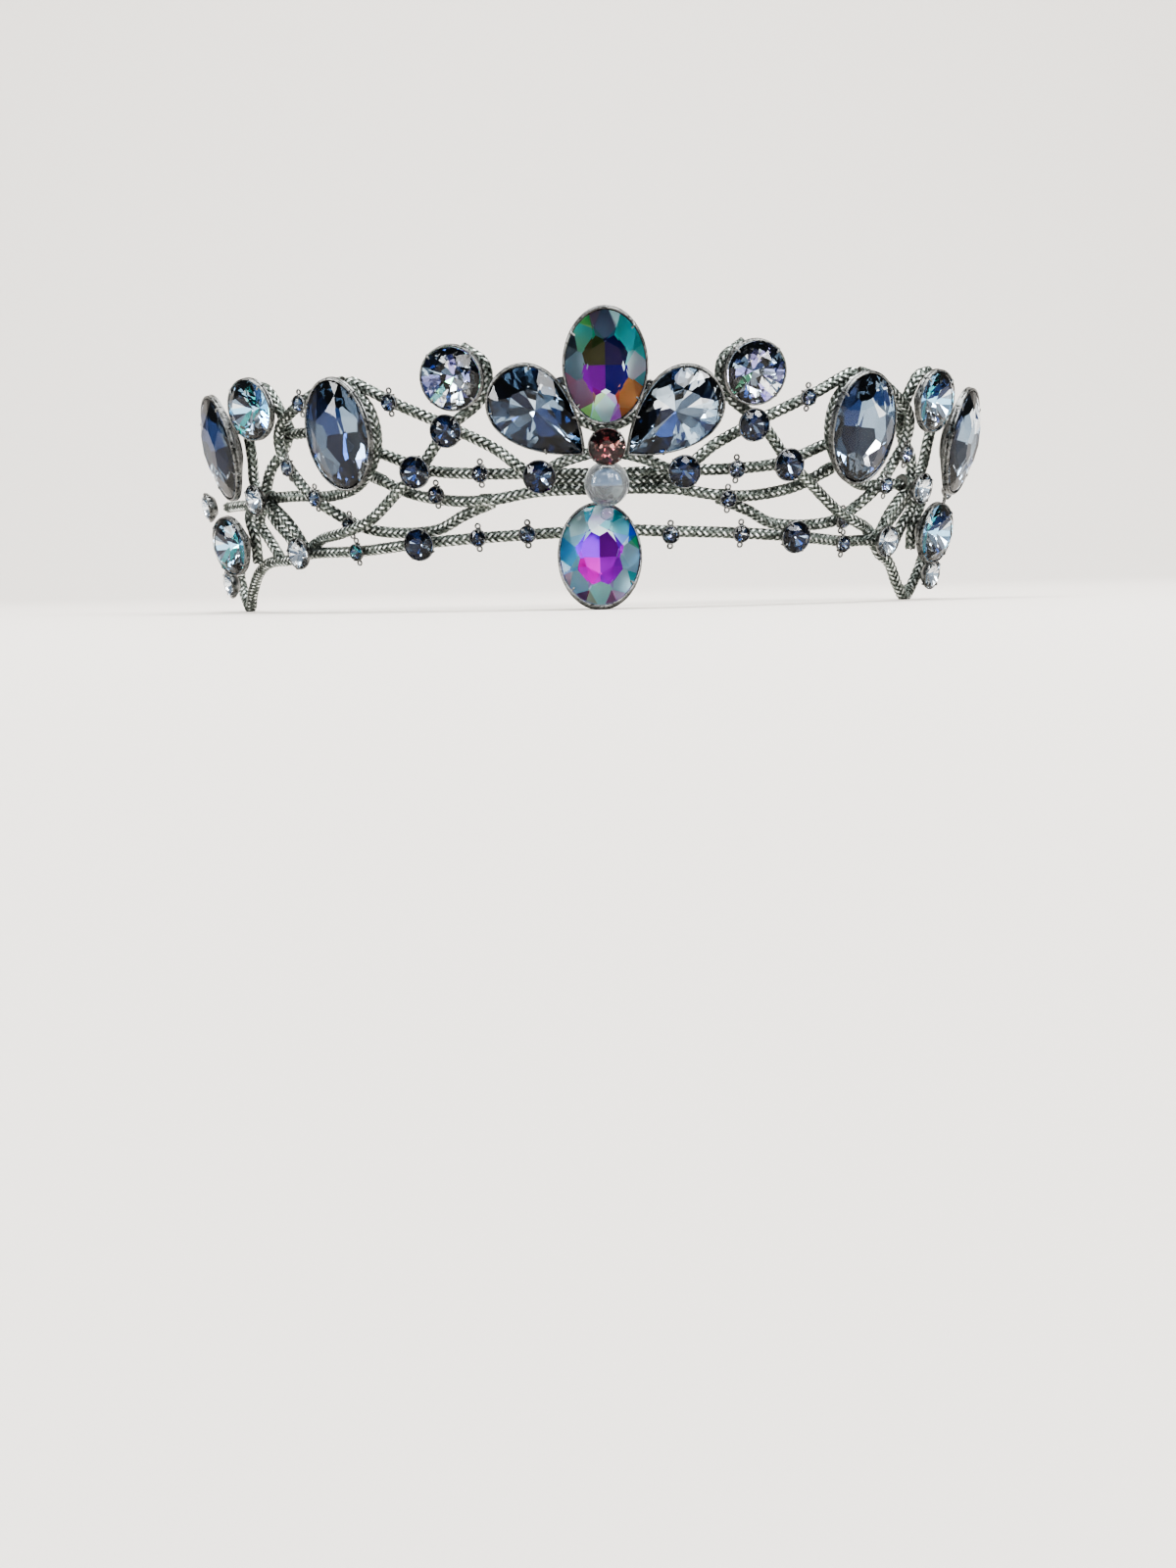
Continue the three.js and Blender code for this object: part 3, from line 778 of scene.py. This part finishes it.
# Crystals of one look in one mesh; each comes with its cut, place and foil.
def crystals(name, slot, glass, stones, *nodes):
    whole = bmesh.new()
    # The "foil" colour of each facet holds the foil's own colour together with painted highlights and
    # painted reflections.
    tint = whole.loops.layers.float_color.new("foil")
    for cut, pose, foil in stones:
        crystal = cut_crystal(cut)
        tier = crystal.faces.layers.int["tier"]
        sector = crystal.faces.layers.int["sector"]
        fresh = {vertex: whole.verts.new(pose @ vertex.co) for vertex in crystal.verts}
        for facet in crystal.faces:
            made = whole.faces.new([fresh[vertex] for vertex in facet.verts])
            made.material_index = 1 if facet[tier] in (MAIN, LOWER, WINDOW) else 0
            colours = foil.get(facet[tier], "white").split()
            for loop in made.loops:
                loop[tint] = FOIL_AND_REFLECTION_COLOURS[colours[facet[sector] % len(colours)]]
        crystal.free()
    back = RAINBOW_FOIL if glass is RAINBOW_GLASS else FOIL
    return settle(solid_piece(name, whole, glass, back), slot, *nodes)


CREST_PLACE = (0, 38.8, 6.4)
LOWER_PLACE = (-1.0, 8.0, 7.2)
LOWER_LEAN = 36
# name, cut, foil, slot, then turn, height and out, then extra turn, lean and spin in degrees.
MIDDLE_STONES = [
    ("crest_oval", WINDOW_OVAL, CREST_FOIL_AND_REFLECTIONS, "rainbow_crystal", CREST_PLACE, (0, 0, 0)),
    ("pear_left", LARGE_PEAR, PEAR_LEFT_FOIL_AND_REFLECTIONS, "ice_crystal", (-7.8, 31.1, 4.9), (0, 0, 48)),
    ("pear_right", LARGE_PEAR, PEAR_RIGHT_FOIL_AND_REFLECTIONS, "ice_crystal", (7.8, 30.6, 4.9), (0, 0, -50)),
    ("lower_oval", WINDOW_OVAL, LOWER_FOIL_AND_REFLECTIONS, "rainbow_crystal", LOWER_PLACE, (0, LOWER_LEAN, 0)),
]
# name, cut, foil, then turn and height on the left and on the right, out, extra turn on the left and
# on the right, and spin.
WING_STONES = [
    ("curl_round", LARGE_ROUND, ROUND_FOIL_AND_REFLECTIONS, (18.1, 37.8), (17.9, 37.8), 4.6, (0, 0), 0),
    ("side_oval", WINDOW_OVAL, SIDE_FOIL_AND_REFLECTIONS, (33.8, 29.4), (33.2, 28.8), 5.8, (3, 0), 3),
    ("far_round", LARGE_ROUND, BLUE_ROUND_FOIL_AND_REFLECTIONS, (48.4, 34.8), (45.6, 33.8), 5.6, (-6, 3), 0),
    ("far_oval", WINDOW_OVAL, SIDE_FOIL_AND_REFLECTIONS, (58.8, 28.8), (54.6, 27.2), 4.8, (5, 7), 7),
    ("low_round", LARGE_ROUND, BLUE_ROUND_FOIL_AND_REFLECTIONS, (62.4, 11.2), (51.4, 10.8), 5.0, (-10, 0), 0),
]
set_stones = [
    (f"{name}_stone", f"{name}_setting", cut, foil, slot, stone_pose(*place, *facing))
    for name, cut, foil, slot, place, facing in MIDDLE_STONES
]
for number, (side, sign) in enumerate(SIGNS.items()):
    for name, cut, foil, *places, out, faces, spin in WING_STONES:
        turn, height = places[number]
        pose = stone_pose(sign * turn, height, out, sign * faces[number], 0, -sign * spin)
        names = (f"{name}_stone_{side}", f"{name}_setting_{side}")
        set_stones.append((*names, cut, foil, "ice_crystal", pose))
for stone, setting, cut, foil, slot, pose in set_stones:
    glass = RAINBOW_GLASS if slot == "rainbow_crystal" else CLEAR_GLASS
    crystals(stone + "_cut", slot, glass, [(cut, pose, foil)], stone)

# ======== settings, claws and ears
# A setting is a thin stamped collar of dark plated metal, open at the back, that follows the outline
# of its stone. Its lip is rolled over the girdle, and four claws are burnished down on the crown.
SEAT = 0.2  # mm between the bare seat and the collar
TAPER = 0.62  # how far the back of the collar draws in, as a share of the half-width
CLAWS = 4
CLAW_STEPS = 9  # along the bend of a claw
CLAW_START = 0.125  # where the first claw stands, as a share of the way round
CLAW_FOOT = -0.7  # mm under the girdle
LIP_TOP = 0.45  # mm over the girdle
CLAW_LIFT = 0.04  # mm from the crown to the middle of the claw's tip


# Rows of grow and height in mm, from the lip over the outside to the back and up the inside.
def collar_rows(cut):
    taper = TAPER * cut.across
    floor = -cut.depth - 0.2
    return [
        (SEAT, 0.12), (SEAT + 0.02, 0.26), (SEAT + 0.12, 0.34), (SEAT + 0.26, 0.3),
        (SEAT + 0.34, 0.16), (SEAT + 0.36, -0.15), (SEAT + 0.28, -0.3), (SEAT + 0.28, -0.55),
        (SEAT + 0.4, -0.68), (SEAT + 0.36, -0.82), (0.42 - taper, floor + 0.1), (0.36 - taper, floor),
        (0.2 - taper, floor + 0.02), (SEAT - 0.1, -0.85), (SEAT, -0.5),
    ]


# Rows of a cup with a closed back: up the inside under the glass, over the lip and down the outside.
def cup_rows(cut):
    across = cut.across
    floor = -cut.depth - 0.25
    return [
        (-0.62 * across, floor + 0.12), (0.0, -0.34), (0.07, 0.12), (0.1, 0.24), (0.18, 0.28),
        (0.27, 0.18), (0.29, -0.05), (0.2, -0.2), (0.16, -0.4), (-0.38 * across, floor + 0.12),
        (-0.5 * across, floor),
    ]


def outline(cut, grow, height, start=0.0):
    scale = 1 + grow / cut.across
    ring = []
    for i in range(GIRDLE_SIDES):
        spot = cut.edge(2 * math.pi * (start + i / GIRDLE_SIDES))
        ring.append(Vector((cut.across * scale * spot.x, cut.up * scale * spot.y, height)))
    return ring


# Rings joined into a band; a collar closes on itself, a cup is closed by a flat floor inside and out.
def ring_band(whole, pose, cut, rows, closed):
    rings = [[whole.verts.new(pose @ p) for p in outline(cut, *row)] for row in rows]
    pairs = list(zip(rings, rings[1:]))
    if closed:
        pairs.append((rings[-1], rings[0]))
    else:
        whole.faces.new(rings[0])
        whole.faces.new(rings[-1][::-1])
    for upper, lower in pairs:
        for i in range(GIRDLE_SIDES):
            j = (i + 1) % GIRDLE_SIDES
            whole.faces.new((upper[i], lower[i], lower[j], upper[j]))


# Copies of a small shape, set evenly on the closed outline that the tree is given.
def spread(tree, given, result, shape, facing=(0.0, 0.0, 0.0)):
    line = output_of(tree, "GeometryNodeMeshToCurve", {0: given["Geometry"]})
    places = resampled(tree, line, "Count", given["Count"])
    links = {"Points": places, "Instance": shape, "Rotation": facing}
    copies = output_of(tree, "GeometryNodeInstanceOnPoints", links)
    feed(tree, result, Geometry=finished(tree, copies, given["Metal"]))
    return tree


# A claw is a bent round wire that starts low on the wall, passes over the lip and ends on the crown.
def claw_tree():
    origin = (0.0, 0.0, 0.0)
    up = (0.0, 0.0, 1.0)
    tree, given, result = new_tree(
        "claws round a stone", count=CLAWS, root=origin, over_the_lip=origin,
        above_the_crown=origin, tip=origin, thickness=0.2 * MM, metal=None,
    )
    outward = vector_node(tree, "CROSS_PRODUCT", up, output_of(tree, "GeometryNodeInputTangent"))
    facing = output_of(
        tree, "FunctionNodeAxesToRotation", {0: up, 1: outward}, primary_axis="Z", secondary_axis="X"
    )
    wire = output_of(
        tree,
        "GeometryNodeCurvePrimitiveBezierSegment",
        {
            "Resolution": CLAW_STEPS, "Start": given["Root"], "Start Handle": given["Over The Lip"],
            "End Handle": given["Above The Crown"], "End": given["Tip"],
        },
    )
    claw = swept(tree, wire, circle(tree, sides=8, radius=given["Thickness"]))
    return spread(tree, given, result, claw, facing)


# An ear is a small ring of wire that lies flat against the outline.
def ear_tree():
    tree, given, result = new_tree("wire ears", count=2, ring=0.42 * MM, thickness=0.16 * MM, metal=None)
    section = circle(tree, sides=6, radius=given["Thickness"])
    ear = swept(tree, circle(tree, sides=16, radius=given["Ring"]), section, caps=False)
    return spread(tree, given, result, ear)


def dark_metal():
    material, tree, shader, worn = tarnished_metal(
        "dark plated metal", 1.0, Bright=rgb(0.27, 0.275, 0.27), Dull=rgb(0.07, 0.072, 0.07),
        Patch_Scale=420.0, Grain_Scale=2600.0, Smoothest=0.2, Roughest=0.42,
    )
    raise_surface(tree, shader, worn["Grain"], 0.15, 0.02 * MM)
    return material


CLAW_TREE = claw_tree()
EAR_TREE = ear_tree()
DARK_METAL = dark_metal()


def ring_guide(cut, grow, height, start):
    return guide_lines([[MM * p for p in outline(cut, grow, height, start)]], closed=True)


def add_grown(whole, pose, piece):
    piece.data.transform(pose @ Matrix.Scale(1 / MM, 4))
    whole.from_mesh(piece.data)
    bpy.data.objects.remove(piece)


# Wall is how far the claws stand out from the girdle, reach how far they come in over the crown.
def add_claws(whole, pose, cut, wall, reach):
    slope = (cut.crown - GIRDLE) / (cut.across * (1 - cut.table))
    tip_height = GIRDLE + slope * reach + CLAW_LIFT
    claws = grown(
        "claws", ring_guide(cut, 0.0, 0.0, CLAW_START), CLAW_TREE,
        root=(wall * MM, 0, CLAW_FOOT * MM), over_the_lip=((wall + 0.1) * MM, 0, LIP_TOP * MM),
        above_the_crown=(0.2 * MM, 0, (tip_height + 2 * CLAW_LIFT) * MM),
        tip=(-reach * MM, 0, tip_height * MM),
        thickness=(0.2 if cut.across > LARGE_STONE else 0.15) * MM, metal=DARK_METAL,
    )
    add_grown(whole, pose, claws)


def metal_piece(name, whole, *nodes):
    bmesh.ops.recalc_face_normals(whole, faces=whole.faces[:])
    for face in whole.faces:
        face.smooth = True
        face.material_index = 0
    piece = solid_piece(name, whole, DARK_METAL)
    filed_flat(piece.data)
    return settle(piece, "dark_setting", *nodes)


for stone, setting, cut, foil, slot, pose in set_stones:
    whole = bmesh.new()
    ring_band(whole, pose, cut, collar_rows(cut), closed=True)
    add_claws(whole, pose, cut, wall=SEAT + 0.34, reach=0.3)
    metal_piece(setting + "_collar", whole, setting)

# ======== the chatons
# Round crystals of 5 mm, navy and clear, and one rose crystal of 6 mm at the middle, in closed cups of
# dark plated metal with four small claws. They are sewn on where the wires cross.

# name, turn and height on the left and on the right, out, spin
CHATONS = [
    ("navy_chaton_1", (19.5, 29.2), (18.2, 29.2), 4.3, 10),
    ("navy_chaton_2", (24.2, 22.6), (23.4, 22.6), 4.3, 25),
    ("navy_chaton_3", (8.2, 21.2), (9.6, 21.6), 4.3, 0),
    ("navy_chaton_4", (24.8, 10.4), (25.3, 10.4), 4.3, 15),
    ("clear_chaton_1", (53.4, 19.2), (47.4, 18.7), 3.9, 8),
    ("clear_chaton_2", (46.0, 9.4), (41.8, 9.4), 3.6, 30),
    ("clear_chaton_3", (71.6, 4.2), (54.8, 3.4), 3.2, 0),
]
NAVY_LOOK = ("navy_crystal", NAVY_GLASS, NAVY_FOIL_AND_REFLECTIONS, CHATON)
CLEAR_LOOK = ("clear_crystal", CLEAR_GLASS, CLEAR_FOIL_AND_REFLECTIONS, CHATON)
ROSE_LOOK = ("rose_crystal", ROSE_GLASS, ROSE_FOIL_AND_REFLECTIONS, ROSE_CUT)
chatons = []
for name, *places, out, spin in CHATONS:
    look = NAVY_LOOK if name.startswith("navy") else CLEAR_LOOK
    for (side, sign), (turn, height) in zip(SIGNS.items(), places):
        pose = stone_pose(sign * turn, height, out, spin=-sign * spin)
        chatons.append((f"{name}_{side}", side, *look, pose))
chatons.append(("clear_chaton_4_left", "left", *CLEAR_LOOK, stone_pose(-70.0, 18.6, 4.4, face=-6)))
chatons.append(("rose_chaton", "middle", *ROSE_LOOK, stone_pose(0, 25.7, 8.2)))
cups = {place: bmesh.new() for place in ("left", "middle", "right")}
for name, place, slot, glass, foil, cut, pose in chatons:
    crystals(name + "_cut", slot, glass, [(cut, pose, foil)], name)
    ring_band(cups[place], pose, cut, cup_rows(cut), closed=False)
    add_claws(cups[place], pose, cut, wall=0.2, reach=0.32)
for place, whole in cups.items():
    metal_piece(f"chaton_cups_{place}", whole)

# ======== the small stones
# Crystals of 2.5 mm in cups of dark plated metal with a wire ear above and below. They are strung
# along the wires and stitched down through their ears; the two beside the crest stone have no ears.
EAR_OUT = 0.72  # mm from the girdle to the middle of the ears
EAR_HEIGHT = -0.45

# turn, height, out, look
SMALL_STONES = {
    "left": [
        (27.4, 34.5, 2.2, "dusk"), (16.2, 22.1, 1.6, "navy"), (22.4, 18.8, 2.0, "navy"),
        (17.1, 11.3, 2.2, "navy"), (10.4, 11.7, 2.2, "dusk"), (35.9, 9.4, 2.2, "teal"),
        (36.9, 14.1, 1.4, "dusk"), (45.3, 24.5, 3.2, "dusk"), (41.2, 35.3, 2.8, "dusk"),
        (40.9, 19.0, 3.4, "dusk"), (64.6, 22.2, 2.2, "clear"),
    ],
    "right": [
        (26.2, 34.0, 2.2, "dusk"), (17.1, 22.0, 1.6, "dusk"), (15.7, 17.0, 3.2, "navy"),
        (8.4, 11.1, 2.2, "dusk"), (18.1, 11.1, 2.2, "navy"), (34.4, 9.1, 2.2, "navy"),
        (43.5, 24.6, 3.2, "dusk"), (34.4, 13.3, 1.4, "dusk"), (40.1, 19.2, 3.4, "dusk"),
        (56.7, 18.5, 2.4, "clear"),
    ],
    "middle": [(-5.1, 36.1, 2.6, "clear"), (5.3, 35.3, 2.6, "clear")],
}
SMALL_FOIL_AND_REFLECTIONS = {
    "navy": NAVY_FOIL_AND_REFLECTIONS,
    "clear": CLEAR_FOIL_AND_REFLECTIONS,
    "dusk": foil_and_reflections("slate steel navy slate violet navy steel slate", "slate navy steel silver"),
    "teal": foil_and_reflections("teal slate navy teal steel navy", "teal navy steel slate"),
}
for place, rows in SMALL_STONES.items():
    sign = SIGNS.get(place, 1)
    whole = bmesh.new()
    stones = []
    for turn, height, out, look in rows:
        pose = stone_pose(sign * turn, height, out, spin=turn * 7 % 45)
        stones.append((SMALL_CUT, pose, SMALL_FOIL_AND_REFLECTIONS[look]))
        ring_band(whole, pose, SMALL_CUT, cup_rows(SMALL_CUT), closed=False)
        add_claws(whole, pose, SMALL_CUT, wall=0.18, reach=0.2)
        if place != "middle":
            guide = ring_guide(SMALL_CUT, EAR_OUT, EAR_HEIGHT, 0.0)
            ears = grown("ears", guide, EAR_TREE, metal=DARK_METAL)
            add_grown(whole, stone_pose(sign * turn, height, out), ears)
    crystals(f"small_crystals_{place}", "clear_crystal", CLEAR_GLASS, stones)
    metal_piece(f"small_cups_{place}", whole)

# ======== the beads
# A pale moonstone glass bead, dimpled where its thread goes in, with a dark blue-grey dome inside it
# that is a painted reflection of the dark room, its flat underside the horizon; and a lilac seed bead
# threaded below it.
BEAD_SIDES = 48
BEAD_ROWS = 32
DOME_ROWS = 12


# A turned solid about the upright through a place. Rows are out, height in mm, from top to bottom, and
# both ends close on the axis.
def turned(name, glass, place, rows, *nodes):
    centre = wall_point(*place)
    solid = bmesh.new()
    top = solid.verts.new(centre + MM * Vector((0, 0, rows[0][1])))
    bottom = solid.verts.new(centre + MM * Vector((0, 0, rows[-1][1])))
    rings = []
    for out, height in rows[1:-1]:
        ring = []
        for i in range(BEAD_SIDES):
            angle = 2 * math.pi * i / BEAD_SIDES
            spot = Vector((out * math.cos(angle), out * math.sin(angle), height))
            ring.append(solid.verts.new(centre + MM * spot))
        rings.append(ring)
    for i in range(BEAD_SIDES):
        j = (i + 1) % BEAD_SIDES
        solid.faces.new((top, rings[0][i], rings[0][j]))
        solid.faces.new((bottom, rings[-1][j], rings[-1][i]))
        for upper, lower in zip(rings, rings[1:]):
            solid.faces.new((upper[i], lower[i], lower[j], upper[j]))
    for face in solid.faces:
        face.smooth = True
    bmesh.ops.recalc_face_normals(solid, faces=solid.faces[:])
    return settle(solid_piece(name, solid, glass), "moonstone", *nodes)


def bead_rows(radius, dimple):
    start = math.asin(dimple / radius)
    arc = [start + (math.pi - 2 * start) * row / BEAD_ROWS for row in range(BEAD_ROWS + 1)]
    rows = [(radius * math.sin(angle), radius * math.cos(angle)) for angle in arc]
    deep = rows[0][1] - dimple
    lip = (dimple * 0.7, deep + dimple * 0.2)
    return [(0, deep), lip, *rows, (lip[0], -lip[1]), (0, -deep)]


def dome_rows(radius, flat):
    top = [math.pi / 2 * row / DOME_ROWS for row in range(DOME_ROWS + 1)]
    rows = [(radius * math.sin(angle), radius * math.cos(angle)) for angle in top]
    return [*rows, (radius * 0.97, -flat), (radius * 0.5, -flat - 0.02), (0, -flat - 0.02)]


# Slightly milky glass: greyer through its middle and paler towards its edge as the surface turns from
# the view, a painted reflection of the dark room with a painted rim highlight; the clouds in it are its
# own.
def milky_glass_with_painted_rim(name, middle, edge, clear):
    material, tree, shader = new_material(name, Transmission_Weight=clear, IOR=1.46)
    # Painted reflection: the colour turns paler where the surface turns away from the view.
    facing = add_node(tree, "ShaderNodeLayerWeight", {"Blend": 0.5}).outputs["Facing"]
    cloud = noise(tree, 180.0, 3.0)
    amount = math_node(tree, "MULTIPLY_ADD", cloud, 0.2, facing)
    colour = colour_mix(tree, amount, middle, edge)
    feed(tree, shader.inputs, Base_Color=colour, Roughness=map_range(tree, cloud, high=0.03))
    return material


MOONSTONE = milky_glass_with_painted_rim("moonstone glass", rgb(0.8, 0.87, 0.94), rgb(0.9, 0.92, 0.93), 0.9)
DARK_ROOM_REFLECTION = milky_glass_with_painted_rim("painted reflection glass", rgb(0.1, 0.15, 0.23), rgb(0.2, 0.28, 0.38), 0.0)
LILAC = milky_glass_with_painted_rim("lilac glass", rgb(0.72, 0.62, 0.76), rgb(0.9, 0.84, 0.92), 0.9)
bead = bead_rows(radius=3.8, dimple=0.4)
turned("moonstone_bead_glass", MOONSTONE, BEAD_PLACE, bead, "moonstone_bead")
# The dark dome inside the bead is a painted reflection of the dark room, its flat underside the horizon.
turned("moonstone_bead_heart", DARK_ROOM_REFLECTION, BEAD_PLACE, dome_rows(radius=1.8, flat=0.25))
turned("lilac_seed_bead", LILAC, (0, 14.7, 4.2), bead_rows(radius=1.15, dimple=0.25))

# ======== whipping and stitching
# Every cut wire end is whipped with fine thread, wound both ways and glued. The bunch at each knot is
# bound with thick turns over a padding of thread, and two more lengths of braid are stitched into the
# groove behind the wires beside the bead, so that they make one broad band.
WHIP_LENGTH = 2.2 * MM
WHIP_PAST_END = 0.1  # mm
WINDING_STEP = 0.05 * MM
# pitch, radius, wave, width and thickness of the thread, radius of what it is wound on, in mm
WHIPPING = (0.62, 1.0, 0.03, 0.34, 0.24, 0.98)
BINDING = (0.55, 1.5, 0.04, 0.42, 0.34, 1.44)
BOUND = {"left": [(50.7, 19.5, 0), (55.0, 18.9, -0.1)], "right": [(49.2, 19.9, 0), (52.8, 19.2, 0)]}
BAND = [(0.3, 20.4, -0.7), (4.0, 20.4, -0.8), (8.8, 20.4, -1.3)]


def wire_tips(routes):
    tips = []
    for route in routes:
        line = smooth_line(route)
        for end in (line, line[::-1]):
            direction = Vector(end[1] - end[0]).normalized()
            start = Vector(end[0]) - direction * WHIP_PAST_END * MM
            tips.append([start, start + direction * WHIP_LENGTH])
    return tips


def wound(name, lines, sizes):
    labels = ("pitch", "radius", "wave", "width", "thickness", "core")
    sizes = {label: size * MM for label, size in zip(labels, sizes)}
    return braided(name, lines, strands_each_way=1, step=WINDING_STEP, **sizes)


for side in SIGNS:
    loose = [CURL_WIRE, MIDDLE_WIRE[-4:], LOWER_WIRE[-4:], CROSS_WIRE, END_LOOP[side][-3:], FAN[4]]
    tips = wire_tips([on_wing(side, route) for route in loose])
    wound(f"whipped_ends_{side}", tips, WHIPPING)
for side in SIGNS:
    wound(f"knot_binding_{side}", [smooth_line(on_wing(side, BOUND[side]))], BINDING)
for side in SIGNS:
    braided(f"band_filler_{side}", [smooth_line(on_wing(side, BAND))])

# ======== the table, light and camera
# A plain pale table that sweeps up behind. Soft boxes overhead, in front and at both sides light the
# tiara, and one more washes the sweep.
TABLE_SPAN = 3.0
SWEEP_START = 0.35
SWEEP_RADIUS = 0.45
SWEEP_STEPS = 24
WALL_HEIGHT = 1.6


def sweep_profile():
    profile = [(-TABLE_SPAN, 0.0), (SWEEP_START, 0.0)]
    for step in range(1, SWEEP_STEPS + 1):
        angle = math.radians(90 * step / SWEEP_STEPS)
        rise = SWEEP_RADIUS * (1 - math.cos(angle))
        profile.append((SWEEP_START + SWEEP_RADIUS * math.sin(angle), rise))
    profile.append((SWEEP_START + SWEEP_RADIUS, WALL_HEIGHT))
    return profile


backdrop_mesh = bpy.data.meshes.new("table")
rows = sweep_profile()
backdrop_mesh.from_pydata(
    [(x, y, z) for y, z in rows for x in (-TABLE_SPAN, TABLE_SPAN)], [],
    [(2 * i, 2 * i + 1, 2 * i + 3, 2 * i + 2) for i in range(len(rows) - 1)],
)
for face in backdrop_mesh.polygons:
    face.use_smooth = True
PALE = new_material("pale table", Base_Color=rgb(0.74, 0.7, 0.65), Roughness=0.85)[0]
backdrop_mesh.materials.append(PALE)
placed("table", backdrop_mesh)

world = bpy.data.worlds.new("studio")
world.use_nodes = True
world.node_tree.nodes["Background"].inputs["Color"].default_value = rgb(0.6, 0.66, 0.74)
world.node_tree.nodes["Background"].inputs["Strength"].default_value = 0.45
bpy.context.scene.world = world
bpy.context.scene.view_settings.look = "AgX - High Contrast"

# name, place, aim, width, height, power
LIGHTS = [
    ("overhead box", (0, -0.1, 0.75), (0, 0, 0), 0.7, 0.5, 5.5),
    ("left box", (-0.8, -0.3, 0.25), (0, 0, 0.02), 0.25, 0.4, 4.0),
    ("front box", (0.35, -0.85, 0.7), (0, 0, 0.02), 0.6, 0.4, 6.0),
    ("right box", (0.6, -0.4, 0.4), (0, 0, 0.02), 0.16, 0.36, 3.0),
    ("backdrop wash", (0, 0.1, 1.0), (0, 0.75, 0.25), 1.2, 0.4, 6.5),
]
for name, place, aim, width, height, power in LIGHTS:
    lamp = bpy.data.lights.new(name, "AREA")
    lamp.shape = "RECTANGLE"
    lamp.size, lamp.size_y, lamp.energy = width, height, power
    box = placed(name, lamp)
    box.location = place
    box.rotation_euler = (Vector(aim) - Vector(place)).to_track_quat("-Z", "Y").to_euler()

FRAME_HEIGHT = 1600
FOCAL_IN_FRAME = 2450  # focal length in the frame's own rows
CAMERA_REACH = 483 * MM  # from the axis of the wall
CAMERA_TURN = -1.5
CAMERA_HEIGHT = 7 * MM
CAMERA_PITCH = math.radians(-5.15)
CAMERA_ROLL = math.radians(-1.2)
CAMERA_HEADING = math.radians(1.2)
camera_data = bpy.data.cameras.new("camera")
camera_data.sensor_width = 36
camera_data.lens = 36 * FOCAL_IN_FRAME / FRAME_HEIGHT
camera_data.clip_start = 0.01
camera = placed("camera", camera_data)
turn = math.radians(CAMERA_TURN)
camera.location = (
    WALL_AXIS.x + CAMERA_REACH * math.sin(turn), WALL_AXIS.y - CAMERA_REACH * math.cos(turn),
    CAMERA_HEIGHT,
)
camera.rotation_euler = (
    Matrix.Rotation(-CAMERA_HEADING, 3, "Z")
    @ Matrix.Rotation(math.pi / 2 + CAMERA_PITCH, 3, "X")
    @ Matrix.Rotation(CAMERA_ROLL, 3, "Z")
).to_euler()
bpy.context.scene.camera = camera
